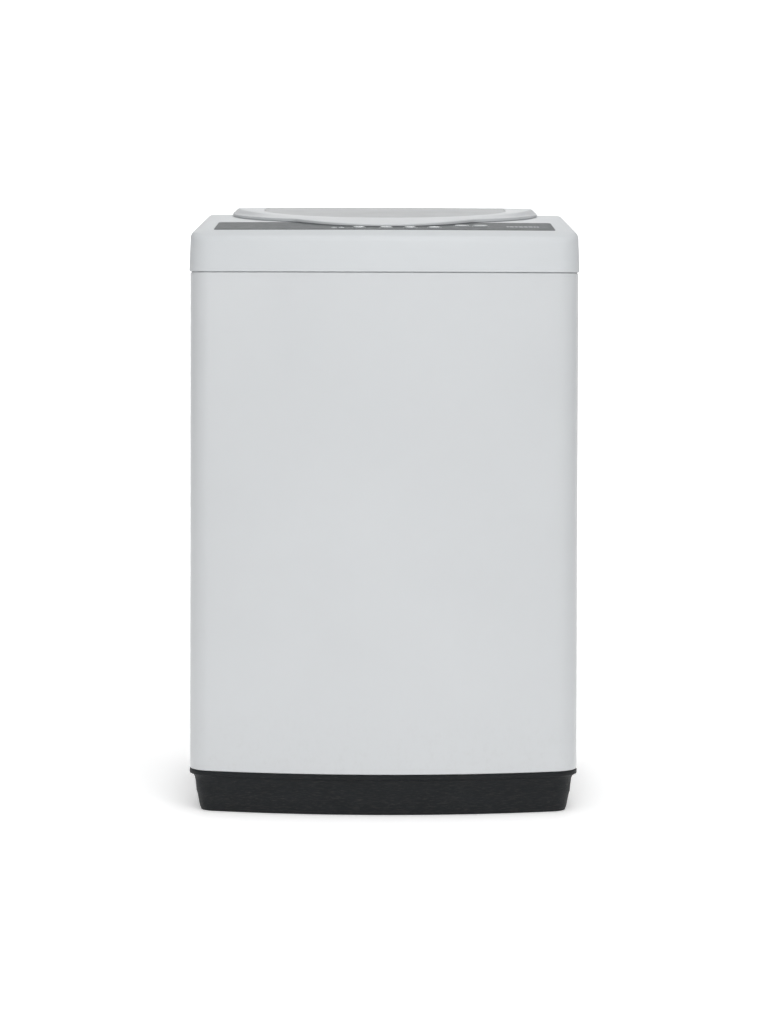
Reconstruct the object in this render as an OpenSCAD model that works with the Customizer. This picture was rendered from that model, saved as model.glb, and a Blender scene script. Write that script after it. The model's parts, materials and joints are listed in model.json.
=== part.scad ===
// Top load washing machine: bowed steel cabinet on a plastic base, plastic top
// cover with a lift-up lid and push buttons, and a sprung tub with a spin basket.
// Millimetres. +Z up, front faces -Y, +X is the right-hand side seen from the front.

/* [Cabinet] */
// Overall width
body_w = 520; // [516:1:530]
// Overall depth
body_d = 530; // [526:1:540]
// Radius of the bowed front
bow_r = 826; // [780:2:900]
// Radius of the front corners
corner_r = 40; // [34:1:44]
// Height of the seam between cabinet and top cover
seam_z = 719; // [716:0.5:720]
// Height of the bottom edge of the steel cabinet
cab_z = 56; // [54:0.5:58]
// Sheet steel thickness
sheet_t = 1; // [0.8:0.1:1.2]

/* [Lid] */
// Half width of the lid
lid_hw = 219; // [214:0.5:220]
// Distance of the lid's front edge ahead of the tub centre
lid_front = 205; // [203:0.5:206]
// Gap between lid and deck
lid_gap = 1.0; // [0.8:0.1:1.2]
// Window half width
win_hw = 168; // [160:1:174]

/* [Loading opening] */
// Radius of the loading opening
mouth_r = 168; // [160:1:170]
// Flat at the back of the opening
mouth_flat = 150; // [148:1:151]

/* [Wash unit] */
// Outer tub radius
tub_r = 238; // [236:0.5:240]
// Spin basket radius
basket_r = 212; // [208:1:214]
// Pulsator radius
puls_r = 158; // [140:1:165]
// Number of pulsator blades
puls_n = 6; // [3:1:8]

/* [Feet] */
// Foot pad radius
foot_r = 20; // [16:1:22]

/* [Hidden] */
hw = body_w/2;
hd = body_d/2;
bow_y = -hd + bow_r;
cor_x = hw - corner_r;
cor_y = bow_y - sqrt(pow(bow_r - corner_r, 2) - pow(cor_x, 2));
cor_a = atan2(bow_y - cor_y, cor_x);
lid_cy = 195;
lid_back = 213;
win_cy = 25;
piv_y = 206;
piv_z = 794;
btn_slope = atan2(11.4, 75);
// button list: x, distance behind the front edge, half width, half depth
BTN = [[-34, 49, 8, 6], [2, 49, 8, 6], [34, 49, 8, 6], [66, 49, 8, 6], [103, 67, 10, 5], [128, 67, 10, 5]];
LED = [[-67, 49], [-57, 49]];
ROD = [[215, -190], [-215, -190], [-215, 205], [215, 205]];
FOOT = [[196, -176], [-196, -176], [-205, 212], [205, 212]];
mot = [-118, -34];
tr_x = 221.5;
drain_z = 116;

// ---- outlines -------------------------------------------------------------
function arc(cx, cy, r, a0, a1, n) =
  [for (i = [0:n]) let (a = a0 + (a1 - a0)*i/n) [cx + r*cos(a), cy + r*sin(a)]];
// body outline seen from above, o = inset all round, b = extra inset at the back
function plan(o = 0, b = 0) = let (rr = max(2, 9 - o)) concat(
  arc(0, bow_y, bow_r - o, -180 + cor_a, -cor_a, 24),
  arc(cor_x, cor_y, corner_r - o, -cor_a + 6, 0, 12),
  arc(hw - o - rr, hd - o - b - rr, rr, 0, 90, 5),
  arc(-hw + o + rr, hd - o - b - rr, rr, 90, 180, 5),
  arc(-cor_x, cor_y, corner_r - o, 180, 180 + cor_a - 6, 12));
// half of a superellipse from (-a, yc) round the front (0, yc - b) to (a, yc)
function front(a, b, yc, n, k) = [for (i = [0:k]) let (t = 180*i/k)
  [-a*sign(cos(t))*pow(abs(cos(t)), 2/n), yc - b*pow(sin(t), 2/n)]];
// arched outline: curved front, short straight sides, rounded corners at the back yb
function arched(a, b, yc, n, yb, rc) = concat(front(a, b, yc, n, 72),
  arc(a - rc, yb - rc, rc, 0, 90, 8), arc(-a + rc, yb - rc, rc, 90, 180, 8));
function lid_o(o = 0) = arched(lid_hw + o, lid_front + lid_cy + o, lid_cy, 2.15, lid_back + o, 7 + o);
function win_o(o = 0) = arched(win_hw + o, 160 + win_cy + o, win_cy, 2, 165 + o, 34 + o);
function mouth(o = 0) = let (a = asin((mouth_flat + o)/(mouth_r + o)))
  arc(0, 0, mouth_r + o, 180 - a, 360 + a, 72);
function ell(a, b, n = 40) = [for (i = [0:n - 1]) [a*cos(360*i/n), b*sin(360*i/n)]];
// deck and lid heights against distance u behind the bowed front edge
DECK = [[0, 755], [1.2, 760.5], [4, 764.6], [9, 767.4], [30, 774.6], [105, 786], [430, 804.9], [545, 807.5]];
LIDT = [[56, 780], [60, 782.6], [64, 784.2], [102, 792], [180, 799.6], [250, 805.4], [318, 810],
  [365, 812.6], [420, 813.8], [478, 814.1], [545, 814.2]];
function up(l, dz) = [for (p = l) [bow_r - p[0], p[1] + dz]];
function rev(l) = [for (i = [len(l) - 1:-1:0]) l[i]];
function zd(x, y) = let (u = bow_r - norm([x, bow_y - y]))
  u < 105 ? 774.6 + (u - 30)*11.4/75 : u < 430 ? 786 + (u - 105)*18.9/325 : 804.9 + (u - 430)*2.6/115;

module ext(p, z0, z1) { translate([0, 0, z0]) linear_extrude(height = z1 - z0) polygon(p); }
module ring(p, q, z0, z1) {
  difference() {
    ext(p, z0, z1);
    ext(q, z0 - 1, z1 + 1);
  }
}
module box(x0, x1, y0, y1, z0, z1) { translate([x0, y0, z0]) cube([x1 - x0, y1 - y0, z1 - z0]); }
module rod(x, y, r, z0, z1) { translate([x, y, z0]) cylinder(h = z1 - z0, r = r, $fn = 48); }
module rody(x, z, r, y0, y1) {
  translate([x, y0, z]) rotate([-90, 0, 0]) cylinder(h = y1 - y0, r = r, $fn = 48);
}
module rodx(y, z, r, x0, x1) {
  translate([x0, y, z]) rotate([0, 90, 0]) cylinder(h = x1 - x0, r = r, $fn = 48);
}
module bow_sweep(p) { translate([0, bow_y, 0]) rotate_extrude($fn = 360) polygon(p); }
module deck(dz, zb = 690) { bow_sweep(concat([[bow_r, zb]], up(DECK, dz), [[bow_r - 545, zb]])); }
module band(t, dt, b, db) { bow_sweep(concat(up(t, dt), rev(up(b, db)))); }
module lidband(dt, db) { band(LIDT, dt, LIDT, db); }
module lidfull(dt) {
  under = [[56, 778.6], [105, 786], [430, 804.9], [545, 807.5]];
  band(LIDT, dt, under, lid_gap);
}
// frame that sits on the sloping front deck at x, distance u behind the edge
module on_deck(x, u) {
  phi = asin(x/(bow_r - u));
  translate([0, bow_y, 0]) rotate([0, 0, phi]) translate([0, -bow_r + u, 774.6 + (u - 30)*11.4/75])
    rotate([btn_slope, 0, 0]) children();
}
module spin(p, n = 120) { rotate_extrude($fn = n) polygon(p); }

// ---- cabinet group --------------------------------------------------------
module cabinet() {
  color([0.86, 0.87, 0.88]) difference() {
    union() {
      ring(plan(1.3, 2.7), plan(1.3 + sheet_t, 2.7), cab_z, seam_z - 0.3);
      ring(plan(1.3 + sheet_t/2, 2.7), plan(14, 2.7), cab_z, cab_z + 1.2);
      for (s = [-1, 1]) box(min(s*212, s*247), max(s*212, s*247), 226, 255, 700, 702);
      for (s = [-1, 1]) box(min(s*245, s*(hw - 1.8)), max(s*245, s*(hw - 1.8)), 200, 255, 690, 702);
      for (s = [-1, 1]) box(min(s*205, s*225), max(s*205, s*225), -215, -165, 700, 702);
      for (s = [-1, 1]) box(min(s*205, s*(hw - 1.8)), max(s*205, s*(hw - 1.8)), -192, -180, 692, 702);
      for (s = [-1, 1]) box(min(s*205, s*225), max(s*205, s*225), 195, 230, 700, 702);
    }
    box(-196, 196, 250, 270, 92, 684);
    for (p = ROD) rod(p[0], p[1], 6, 690, 710);
    for (s = [-1, 1]) for (z = [88, 388, 688]) rody(s*203, z, 2.3, 255, 266);
    for (s = [-1, 1]) rody(s*225, 713, 2.4, 255, 266);
  }
}
module back_panel() {
  color([0.80, 0.81, 0.82]) difference() {
    union() {
      box(-210, 210, 261.3, 262.3, 78, 698);
      for (i = [0:4]) box(-150, 150, 262.2, 263.8, 300 + i*60, 312 + i*60);
    }
    for (s = [-1, 1]) for (z = [88, 388, 688]) rody(s*203, z, 2.2, 255, 270);
    rody(-150, 150, 10.15, 255, 270);
    rody(150, drain_z, 17.2, 255, 270);
    for (i = [0:6]) for (j = [0:5]) box(-66 + i*20, -54 + i*20, 255, 270, 150 + j*12, 154 + j*12);
  }
}
module back_panel_screws() {
  color([0.6, 0.6, 0.62]) for (s = [-1, 1]) for (z = [88, 388, 688]) {
    rody(s*203, z, 4, 262.4, 264.6);
    rody(s*203, z, 2, 250, 262.5);
  }
}
module base() {
  color([0.11, 0.12, 0.13]) difference() {
    union() {
      ring(plan(0.9), plan(4.5), 48, cab_z - 0.3);
      ring(plan(4.4), plan(8), 43, 50);
      ring(plan(7), plan(11.5), 24, 44);
      ring(plan(10.5), plan(15), 3, 25);
      ring(plan(4), plan(36), 50, 53.5);
      for (p = FOOT) rod(p[0], p[1], 26, 14.2, 51);
      for (s = [-1, 1]) for (y = [-90, 0, 90])
        box(min(s*214, s*248), max(s*214, s*248), y - 2, y + 2, 26, 51);
      for (x = [-120, 0, 120]) box(x - 2, x + 2, 222, 252, 26, 51);
      for (x = [-120, 0, 120]) box(x - 2, x + 2, -250, -215, 26, 51);
    }
    for (p = [FOOT[0], FOOT[1]]) {
      rod(p[0], p[1], 4.05, 0, 60);
      rod(p[0], p[1], 18, 30, 60);
    }
    for (p = [FOOT[2], FOOT[3]]) rod(p[0], p[1], 4.0, 0, 60);
  }
}
module rear_feet() {
  color([0.07, 0.07, 0.08]) for (p = [FOOT[2], FOOT[3]]) {
    translate([p[0], p[1], 0])
      spin([[0, 0], [foot_r - 2, 0], [foot_r, 3], [foot_r - 3, 14], [3.8, 14], [3.8, 30], [0, 30]], 48);
  }
}
module front_foot(p) {
  translate([p[0], p[1], 0]) difference() {
    spin([[0, 0], [foot_r - 2, 0], [foot_r, 2.5], [foot_r - 3, 8], [4, 8.5], [4, 45], [0, 45]], 48);
  }
}
module locknut(p) {
  translate([p[0], p[1], 8.8]) difference() {
    cylinder(h = 4.6, r = 8, $fn = 6);
    translate([0, 0, -1]) cylinder(h = 8, r = 4.03, $fn = 48);
  }
}
module front_left_foot() { color([0.07, 0.07, 0.08]) front_foot(FOOT[1]); }
module front_right_foot() { color([0.07, 0.07, 0.08]) front_foot(FOOT[0]); }
module front_left_locknut() { color([0.7, 0.7, 0.72]) locknut(FOOT[1]); }
module front_right_locknut() { color([0.7, 0.7, 0.72]) locknut(FOOT[0]); }

// ---- top cover group ------------------------------------------------------
module panel_outline(z0, z1, o = 0) {
  difference() {
    translate([0, bow_y, z0]) linear_extrude(height = z1 - z0) polygon(concat(
      arc(0, 0, bow_r - 30 + o, -106.6 - 0.08*o, -73.4 + 0.08*o, 30),
      arc(0, 0, bow_r - 105 - o, -71.9 + 0.08*o, -108.1 - 0.08*o, 30)));
    ext(lid_o(-10 - o), z0 - 1, z1 + 1);
  }
}
// what is planed off both sides of the cover, so that each shoulder falls to a straight edge
module shoulders(dz) {
  for (s = [-1, 1]) translate([s*hw, 108 - hd, 772.2 + dz]) rotate([4.36, 0, 0]) rotate([0, s*20.15, 0])
    translate([-45, -160, 0]) cube([90, 640, 60]);
}
module top_cover() {
  color([0.88, 0.89, 0.90]) difference() {
    union() {
      difference() {
        difference() {
          intersection() {
            ext(plan(0), seam_z, 822);
            deck(0);
          }
          shoulders(0);
        }
        difference() {
          intersection() {
            ext(plan(2.5), seam_z - 1, 822);
            deck(-2.5);
          }
          shoulders(-2.6);
        }
      }
      ring(plan(3.1, 2.7), plan(5, 2.7), seam_z - 12, seam_z + 4);
      ring(plan(2.4), plan(5, 2.7), seam_z, seam_z + 4);
      intersection() {
        ring(mouth(2.5), mouth(0), 712, 822);
        deck(-0.5);
      }
      intersection() {
        box(-tr_x - 2.5, tr_x + 2.5, 190, 231.5, 780.5, 822);
        deck(-0.5);
      }
      intersection() {
        rody(130, 765, 24, 243.5, 264);
        deck(-1);
      }
    }
    ext(mouth(0), 700, 830);
    box(-tr_x, tr_x, 192.5, 229, 783, 830);
    for (s = [-1, 1]) rodx(piv_y, piv_z, 3.0, s*(tr_x + 1) - 4, s*(tr_x + 1) + 4);
    intersection() {
      panel_outline(760, 800, 0.3);
      band(DECK, 5, DECK, -1.3);
    }
    for (b = BTN) on_deck(b[0], b[1]) translate([0, 0, -12]) linear_extrude(height = 30)
      polygon(ell(b[2] + 0.4, b[3] + 0.4));
    for (l = LED) on_deck(l[0], l[1]) translate([0, 0, -12]) cylinder(h = 30, r = 2.3, $fn = 32);
    box(-71.5, 71.5, 140, 156, 743.5, 777.5);
    rody(130, 765, 21.5, 246, 270);
    rody(130, 765, 16.5, 240, 270);
    for (s = [-1, 1]) rody(s*225, 735, 2.2, 250, 270);
    for (s = [-1, 1]) rody(s*225, 735, 5.5, 264, 270);
  }
}
module cover_screws() {
  color([0.6, 0.6, 0.62]) for (s = [-1, 1]) {
    rody(s*225, 735, 4.5, 264.02, 264.95);
    rody(s*225, 735, 2.1, 250, 264.1);
  }
}
module control_panel() {
  color([0.45, 0.47, 0.48]) difference() {
    intersection() {
      panel_outline(760, 800);
      band(DECK, 0.25, DECK, -1.1);
    }
    for (b = BTN) on_deck(b[0], b[1]) translate([0, 0, -6]) linear_extrude(height = 20)
      polygon(ell(b[2] + 0.4, b[3] + 0.4));
    for (l = LED) on_deck(l[0], l[1]) translate([0, 0, -6]) cylinder(h = 20, r = 2.3, $fn = 32);
  }
}
module indicator_lights() {
  color([0.75, 0.2, 0.15]) for (l = LED) on_deck(l[0], l[1]) translate([0, 0, -9])
    cylinder(h = 9.6, r = 2.1, $fn = 32);
}
module control_board() {
  color([0.12, 0.35, 0.2]) {
    box(-90, 145, -248, -188, 750, 751.8);
    for (b = BTN) translate([b[0] - 3, -hd + b[1] + b[0]*b[0]/1560 - 4, 751.7]) cube([6, 6, 3]);
    box(-80, -40, -240, -210, 735, 750.1);
    box(60, 130, -235, -205, 738, 750.1);
    for (p = [[-86, -244], [141, -232], [-86, -192], [141, -192]]) difference() {
      rod(p[0], p[1], 3.2, 751.7, p[1] < -230 ? 762 : 772);
      rod(p[0], p[1], 1.2, 751.6, 762);
    }
  }
}
module button(b) {
  on_deck(b[0], b[1]) {
    translate([0, 0, -4.2]) linear_extrude(height = 5.8) polygon(ell(b[2], b[3]));
    translate([0, 0, -5.6]) linear_extrude(height = 1.5) polygon(ell(b[2] + 1.6, b[3] + 1.6));
    translate([0, 0, -14]) cylinder(h = 8.6, r = 2.2, $fn = 32);
  }
}
module button_1() { color([0.62, 0.64, 0.65]) button(BTN[0]); }
module button_2() { color([0.62, 0.64, 0.65]) button(BTN[1]); }
module button_3() { color([0.62, 0.64, 0.65]) button(BTN[2]); }
module button_4() { color([0.62, 0.64, 0.65]) button(BTN[3]); }
module button_5() { color([0.62, 0.64, 0.65]) button(BTN[4]); }
module button_6() { color([0.62, 0.64, 0.65]) button(BTN[5]); }

module inlet_valve() {
  color([0.85, 0.86, 0.84]) difference() {
    union() {
      rody(130, 765, 13.2, 246, 262);
      rody(130, 765, 16, 232, 246.5);
      box(112, 148, 206, 243, 744, 779);
      rod(130, 217, 13, 727, 745);
      rodx(216, 762, 5.5, 100, 113);
    }
    rody(130, 765, 9, 238, 270);
    rodx(216, 762, 3.6, 95, 120);
  }
}
module inlet_hose() {
  color([0.25, 0.25, 0.26]) difference() {
    rodx(216, 762, 7.6, 78, 110);
    rodx(216, 762, 5.55, 70, 120);
  }
}
module dispenser_housing() {
  color([0.84, 0.85, 0.86]) difference() {
    union() {
      box(-76, 76, 152.8, 242, 741, 779.6);
      rodx(216, 762, 5.5, 75, 92);
    }
    box(-73.5, 73.5, 150, 239.5, 743.2, 777.8);
    rodx(216, 762, 3.6, 60, 100);
    for (i = [0:5]) box(-62 + i*22, -52 + i*22, 165, 225, 735, 750);
  }
}
module detergent_drawer() {
  color([0.80, 0.84, 0.88]) difference() {
    union() {
      box(-70, 70, 151.2, 236, 746.5, 772);
      box(-71, 71, 148.6, 151.8, 744, 777);
    }
    box(-67.5, 1, 154, 210, 749, 780);
    box(3.5, 67.5, 154, 210, 749, 780);
    box(-67.5, 67.5, 212.5, 233.5, 749, 780);
    box(-25, 25, 147, 150.2, 763, 771);
    for (i = [0:4]) box(-60 + i*26, -50 + i*26, 214, 232, 740, 755);
  }
}
module pressure_switch() {
  color([0.2, 0.2, 0.22]) translate([-150, 225, 0]) {
    rod(0, 0, 24, 742, 764);
    rod(0, 0, 10, 763, 772);
    rod(-12, 12, 3, 734, 743);
    box(-6, 6, -24, 24, 756, 776);
  }
}
module pressure_hose() {
  color([0.15, 0.15, 0.16]) difference() {
    rod(-162, 237, 4.6, 214, 741.5);
    rod(-162, 237, 3.05, 213, 742);
  }
}
module lid_switch() {
  color([0.9, 0.9, 0.86]) {
    box(192, 214, 88, 112, 778.5, zd(192, 88) - 2.8);
    box(198, 208, 84, 116, 776, 779);
  }
}
module hinge_pins() {
  color([0.75, 0.76, 0.78]) for (s = [-1, 1])
    rodx(piv_y, piv_z, 2.98, s > 0 ? 194 : -tr_x - 4, s > 0 ? tr_x + 4 : -194);
}
module suspension_seats() {
  color([0.9, 0.9, 0.88]) for (p = ROD) translate([p[0], p[1], 0]) difference() {
    spin([[0, 692], [5.6, 692], [5.6, 702.2], [13, 702.2], [11, 707], [0, 709]], 48);
    translate([0, 0, 690]) cylinder(h = 30, r = 2.55, $fn = 48);
  }
}
module suspension_rods() {
  color([0.72, 0.73, 0.75]) for (p = ROD) translate([p[0], p[1], 0])
    spin([[0, 118], [5, 118], [5, 121], [2.5, 121], [2.5, 709.4], [5, 709.4], [5, 712], [0, 712]], 48);
}
module suspension_cups() {
  color([0.9, 0.9, 0.88]) for (p = ROD) translate([p[0], p[1], 0]) difference() {
    spin([[0, 121.2], [10, 121.2], [16, 126], [16, 136], [13.6, 136], [13.6, 129], [0, 129]], 48);
    translate([0, 0, 110]) cylinder(h = 30, r = 2.55, $fn = 48);
  }
}
module cord_gland() {
  color([0.1, 0.1, 0.1]) difference() {
    union() {
      rody(-150, 150, 10, 255, 262.6);
      rody(-150, 150, 13, 262.4, 264.8);
      rody(-150, 150, 13, 255, 261.1);
    }
    rody(-150, 150, 3.6, 240, 280);
  }
}
module drain_outlet() {
  color([0.3, 0.3, 0.32]) difference() {
    union() {
      rody(150, drain_z, 15, 215, 264.8);
      rody(150, drain_z, 22, 257, 261.1);
    }
    rody(150, drain_z, 12, 210, 280);
  }
}
module drain_hose() {
  color([0.28, 0.28, 0.3]) difference() {
    union() {
      rody(150, drain_z, 18, 174, 232);
      translate([150, 174, drain_z]) sphere(r = 18, $fn = 64);
      rod(150, 174, 18, drain_z, 142);
    }
    rody(150, drain_z, 15.1, 174, 240);
    translate([150, 174, drain_z]) sphere(r = 15.1, $fn = 64);
    rod(150, 174, 15.1, drain_z, 150);
  }
}
module motor_capacitor() {
  color([0.16, 0.17, 0.18]) {
    rodx(-215, 100, 19, 60, 140);
    rodx(-215, 100, 20.5, 95, 107);
    box(94, 108, -222, -208, 53.5, 90);
    box(139, 146, -218, -212, 96, 104);
  }
}

// ---- lid ------------------------------------------------------------------
module lid_frame() {
  color([0.90, 0.91, 0.92]) difference() {
    union() {
      intersection() {
        ring(lid_o(0), win_o(0.25), 770, 825);
        lidband(0, -2.4);
      }
      intersection() {
        ring(lid_o(0), lid_o(-2.6), 770, 825);
        lidfull(-0.2);
      }
      intersection() {
        ring(win_o(2.6), win_o(0.25), 770, 825);
        lidband(-1, -4.6);
      }
      intersection() {
        ring(win_o(2.6), win_o(-7), 770, 825);
        lidband(-2.5, -4.6);
      }
      for (s = [-1, 1]) {
        box(min(s*196, s*206), max(s*196, s*206), 199.5, 212.6, piv_z, 812.4);
        rodx(piv_y, piv_z, 6.6, min(s*196, s*206), max(s*196, s*206));
      }
    }
    for (s = [-1, 1]) rodx(piv_y, piv_z, 3.05, min(s*190, s*212), max(s*190, s*212));
  }
}
module lid_window() {
  color([0.35, 0.38, 0.40]) intersection() {
    ext(win_o(0), 770, 825);
    lidband(-0.25, -2.3);
  }
}
module lid_bumpers() {
  color([0.2, 0.2, 0.21]) for (s = [-1, 1]) rod(s*98, -150, 4, 786.5, 789.6);
}
module lid_magnet() { color([0.3, 0.3, 0.32]) box(195, 207, 92, 108, 803, 806.8); }

// ---- wash unit ------------------------------------------------------------
module outer_tub() {
  color([0.82, 0.84, 0.84]) difference() {
    union() {
      spin([[14.05, 184], [40, 184], [40, 190], [tub_r - 8, 196], [tub_r, 206], [tub_r, 684],
        [tub_r - 3, 684], [tub_r - 3, 208], [tub_r - 11, 200], [44, 195], [30, 206], [14.05, 206]],
        180);
      for (p = ROD) rotate([0, 0, atan2(p[1], p[0])]) difference() {
        box(tub_r - 14, norm(p) + 17, -17, 17, 204, 216);
        translate([norm(p), 0, 190]) cylinder(h = 40, r = 7, $fn = 48);
        translate([norm(p) - 30, 0, 190]) cylinder(h = 40, r = 5, $fn = 48);
      }
      for (z = [300, 420, 540])
        spin([[tub_r - 2, z], [tub_r + 2, z], [tub_r + 2, z + 4], [tub_r - 2, z + 4]], 180);
      for (a = [0:30:330]) rotate([0, 0, a + 15]) box(60, 225, -1.5, 1.5, 180, 194);
      rotate([0, 0, atan2(237, -162)]) {
        rodx(0, 206, 5, tub_r - 2, 287);
        rod(287.07, 0, 5, 201, 211);
        rod(287.07, 0, 2.9, 210, 224);
      }
    }
    translate([0, 0, 194]) cylinder(h = 500, r = 30, $fn = 60);
    rod(150, 174, 16, 170, 202);
  }
}
module tub_ring() {
  color([0.84, 0.86, 0.86]) spin([[176, 690], [tub_r + 3, 690], [tub_r + 3, 676], [tub_r + 0.2, 676],
    [tub_r + 0.2, 684.3], [tub_r - 3.5, 684.3], [tub_r - 3.5, 687], [179, 687], [179, 680], [176, 680]],
    180);
}
module mounting_plate() {
  color([0.62, 0.64, 0.66]) difference() {
    union() {
      box(-190, 130, -75, 75, 172, 175);
      box(-60, 60, -150, 150, 172, 175);
      for (s = [-1, 1]) box(-190, 130, s > 0 ? 72 : -75, s > 0 ? 75 : -72, 168, 175);
    }
    rod(0, 0, 20, 160, 180);
    rod(mot[0], mot[1], 22, 160, 180);
    for (a = [45:90:315]) rotate([0, 0, a]) rod(58, 0, 5.2, 160, 180);
  }
}
module gearbox() {
  color([0.66, 0.67, 0.68]) difference() {
    union() {
      spin([[0, 110], [26, 110], [42, 118], [48, 122], [48, 162], [44, 171.8], [19.5, 171.8],
        [19.5, 183.8], [0, 183.8]], 96);
      for (a = [45:90:315]) rotate([0, 0, a]) {
        box(40, 64, -10, 10, 166, 171.8);
        rod(58, 0, 5, 171.7, 179);
        rod(58, 0, 8, 162, 166.1);
      }
    }
    translate([0, 0, 140]) cylinder(h = 60, r = 14.05, $fn = 96);
    translate([0, 0, 125.5]) cylinder(h = 20, r = 9, $fn = 96);
    translate([0, 0, 100]) cylinder(h = 24, r = 8.05, $fn = 96);
  }
}
module motor() {
  color([0.3, 0.32, 0.34]) translate([mot[0], mot[1], 0]) difference() {
    union() {
      spin([[0, 102], [46, 102], [58, 108], [58, 150], [62, 150], [62, 160], [58, 160], [50, 166],
        [20, 167], [20, 171.8], [0, 171.8]], 96);
      for (a = [0:90:270]) rotate([0, 0, a + 45]) {
        box(50, 74, -9, 9, 152, 158);
        rod(67, 0, 4, 158, 171.8);
      }
    }
    translate([0, 0, 90]) cylinder(h = 40, r = 6.05, $fn = 96);
    for (a = [0:20:340]) rotate([0, 0, a]) box(57, 60, -2, 2, 116, 142);
  }
}
module pulley(r, hr, z0) {
  spin([[0, z0], [hr + 6, z0], [hr + 6, z0 + 2], [r - 9, z0 + 4], [r - 7, z0], [r, z0], [r - 5, z0 + 5],
    [r - 5, z0 + 9], [r, z0 + 14], [r - 7, z0 + 14], [r - 9, z0 + 10], [hr + 6, z0 + 12],
    [hr + 6, z0 + 14], [0, z0 + 14]], 120);
}
module drive_pulley() {
  color([0.72, 0.73, 0.74]) difference() {
    union() {
      pulley(72, 10, 84);
      rod(0, 0, 8, 80, 122);
    }
    for (a = [0:60:300]) rotate([0, 0, a]) translate([40, 0, 70]) cylinder(h = 50, r = 12, $fn = 48);
  }
}
module motor_pulley() {
  color([0.72, 0.73, 0.74]) translate([mot[0], mot[1], 0]) {
    pulley(26, 8, 84);
    rod(0, 0, 6, 80, 128);
  }
}
module belt2d(e) {
  L = norm(mot);
  a = atan2(mot[1], mot[0]);
  r1 = 67.35 + e;
  r2 = 21.35 + e;
  b = acos((r1 - r2)/L);
  polygon(concat(arc(0, 0, r1, a + b, a + 360 - b, 60), arc(mot[0], mot[1], r2, a - b, a + b, 36)));
}
module drive_belt() {
  color([0.08, 0.08, 0.08]) translate([0, 0, 89.4]) linear_extrude(height = 3.2) difference() {
    belt2d(3.4);
    belt2d(0);
  }
}
module drain_valve() {
  color([0.8, 0.82, 0.82]) difference() {
    union() {
      rod(150, 174, 15, 140, 202);
      rod(150, 174, 21, 158, 179.5);
      box(104, 150, 165, 183, 162, 180);
    }
    rod(150, 174, 12, 139, 210);
  }
}
module valve_actuator() {
  color([0.22, 0.23, 0.25]) {
    box(70, 103.7, 152, 196, 140, 182);
    rodx(174, 171, 4, 90, 103.9);
    box(78, 96, 164, 184, 182, 191);
  }
}
module coil(x, y, r, w, z0, z1, n) {
  translate([x, y, 0]) for (i = [0:n - 1]) {
    z = z0 + w + (z1 - z0 - 2*w)*i/(n - 1);
    translate([0, 0, z]) rotate_extrude($fn = 40) translate([r, 0]) circle(r = w, $fn = 16);
  }
  translate([x, y, 0]) for (a = [0, 180]) rotate([0, 0, a]) box(r - 0.9, r + 0.9, -0.9, 0.9, z0 + w, z1 - w);
}
module suspension_springs() {
  color([0.7, 0.71, 0.73]) for (p = ROD) coil(p[0], p[1], 10.4, 1.6, 129.3, 203.7, 9);
}
module basket() {
  color([0.78, 0.79, 0.80]) difference() {
    spin([[basket_r - 1.2, 226], [basket_r, 226], [basket_r, 652], [basket_r - 1.2, 652]], 180);
    for (k = [0:5]) for (j = [0:5]) rotate([0, 0, 60*k + 12*(j % 2)])
      translate([basket_r - 12, 0, 290 + 60*j])
      rotate([0, 90, 0]) cylinder(h = 24, r = 5, $fn = 24);
  }
}
module basket_base() {
  color([0.80, 0.82, 0.83]) difference() {
    union() {
      spin([[15.05, 212], [60, 212], [60, 218], [basket_r - 12, 218], [basket_r - 1.4, 226],
        [basket_r - 1.4, 262], [basket_r - 4, 262], [basket_r - 4, 240], [puls_r + 8, 230],
        [puls_r + 4, 222], [60, 222], [40, 226], [15.05, 226]], 180);
    }
    for (a = [0:30:330]) rotate([0, 0, a]) rod(110, 0, 7, 200, 230);
  }
}
module balance_ring() {
  color([0.86, 0.88, 0.89])
    spin([[177, 634], [181, 630], [basket_r - 4, 630], [basket_r - 1.4, 634], [basket_r - 1.4, 653],
      [basket_r + 2, 653], [basket_r + 2, 664], [basket_r - 4, 672], [184, 672], [177, 665]], 180);
}
module spin_tube() {
  color([0.7, 0.7, 0.72])
    spin([[9, 150], [14, 150], [14, 208], [34, 208], [34, 211.8], [15, 211.8], [15, 228], [9, 228]], 96);
}
module filter_holder() {
  color([0.80, 0.82, 0.83]) intersection() {
    difference() {
      spin([[193, 350], [basket_r - 1.5, 350], [basket_r - 1.5, 530], [193, 530]], 180);
      box(-32.6, 32.6, 0, basket_r - 5, 357, 523.5);
    }
    box(-37, 37, 150, 220, 350, 530);
  }
}
module lint_filter() {
  color([0.3, 0.5, 0.6]) difference() {
    translate([0, basket_r - 19, 0]) box(-32, 32, 0, 13.5, 360, 520);
    translate([0, basket_r - 19, 0]) box(-28, 28, 4, 11, 364, 530);
    translate([0, basket_r - 19, 0]) for (i = [0:2]) for (j = [0:7])
      box(-24 + i*17, -10 + i*17, -3, 8, 376 + j*17, 388 + j*17);
  }
}
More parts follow.
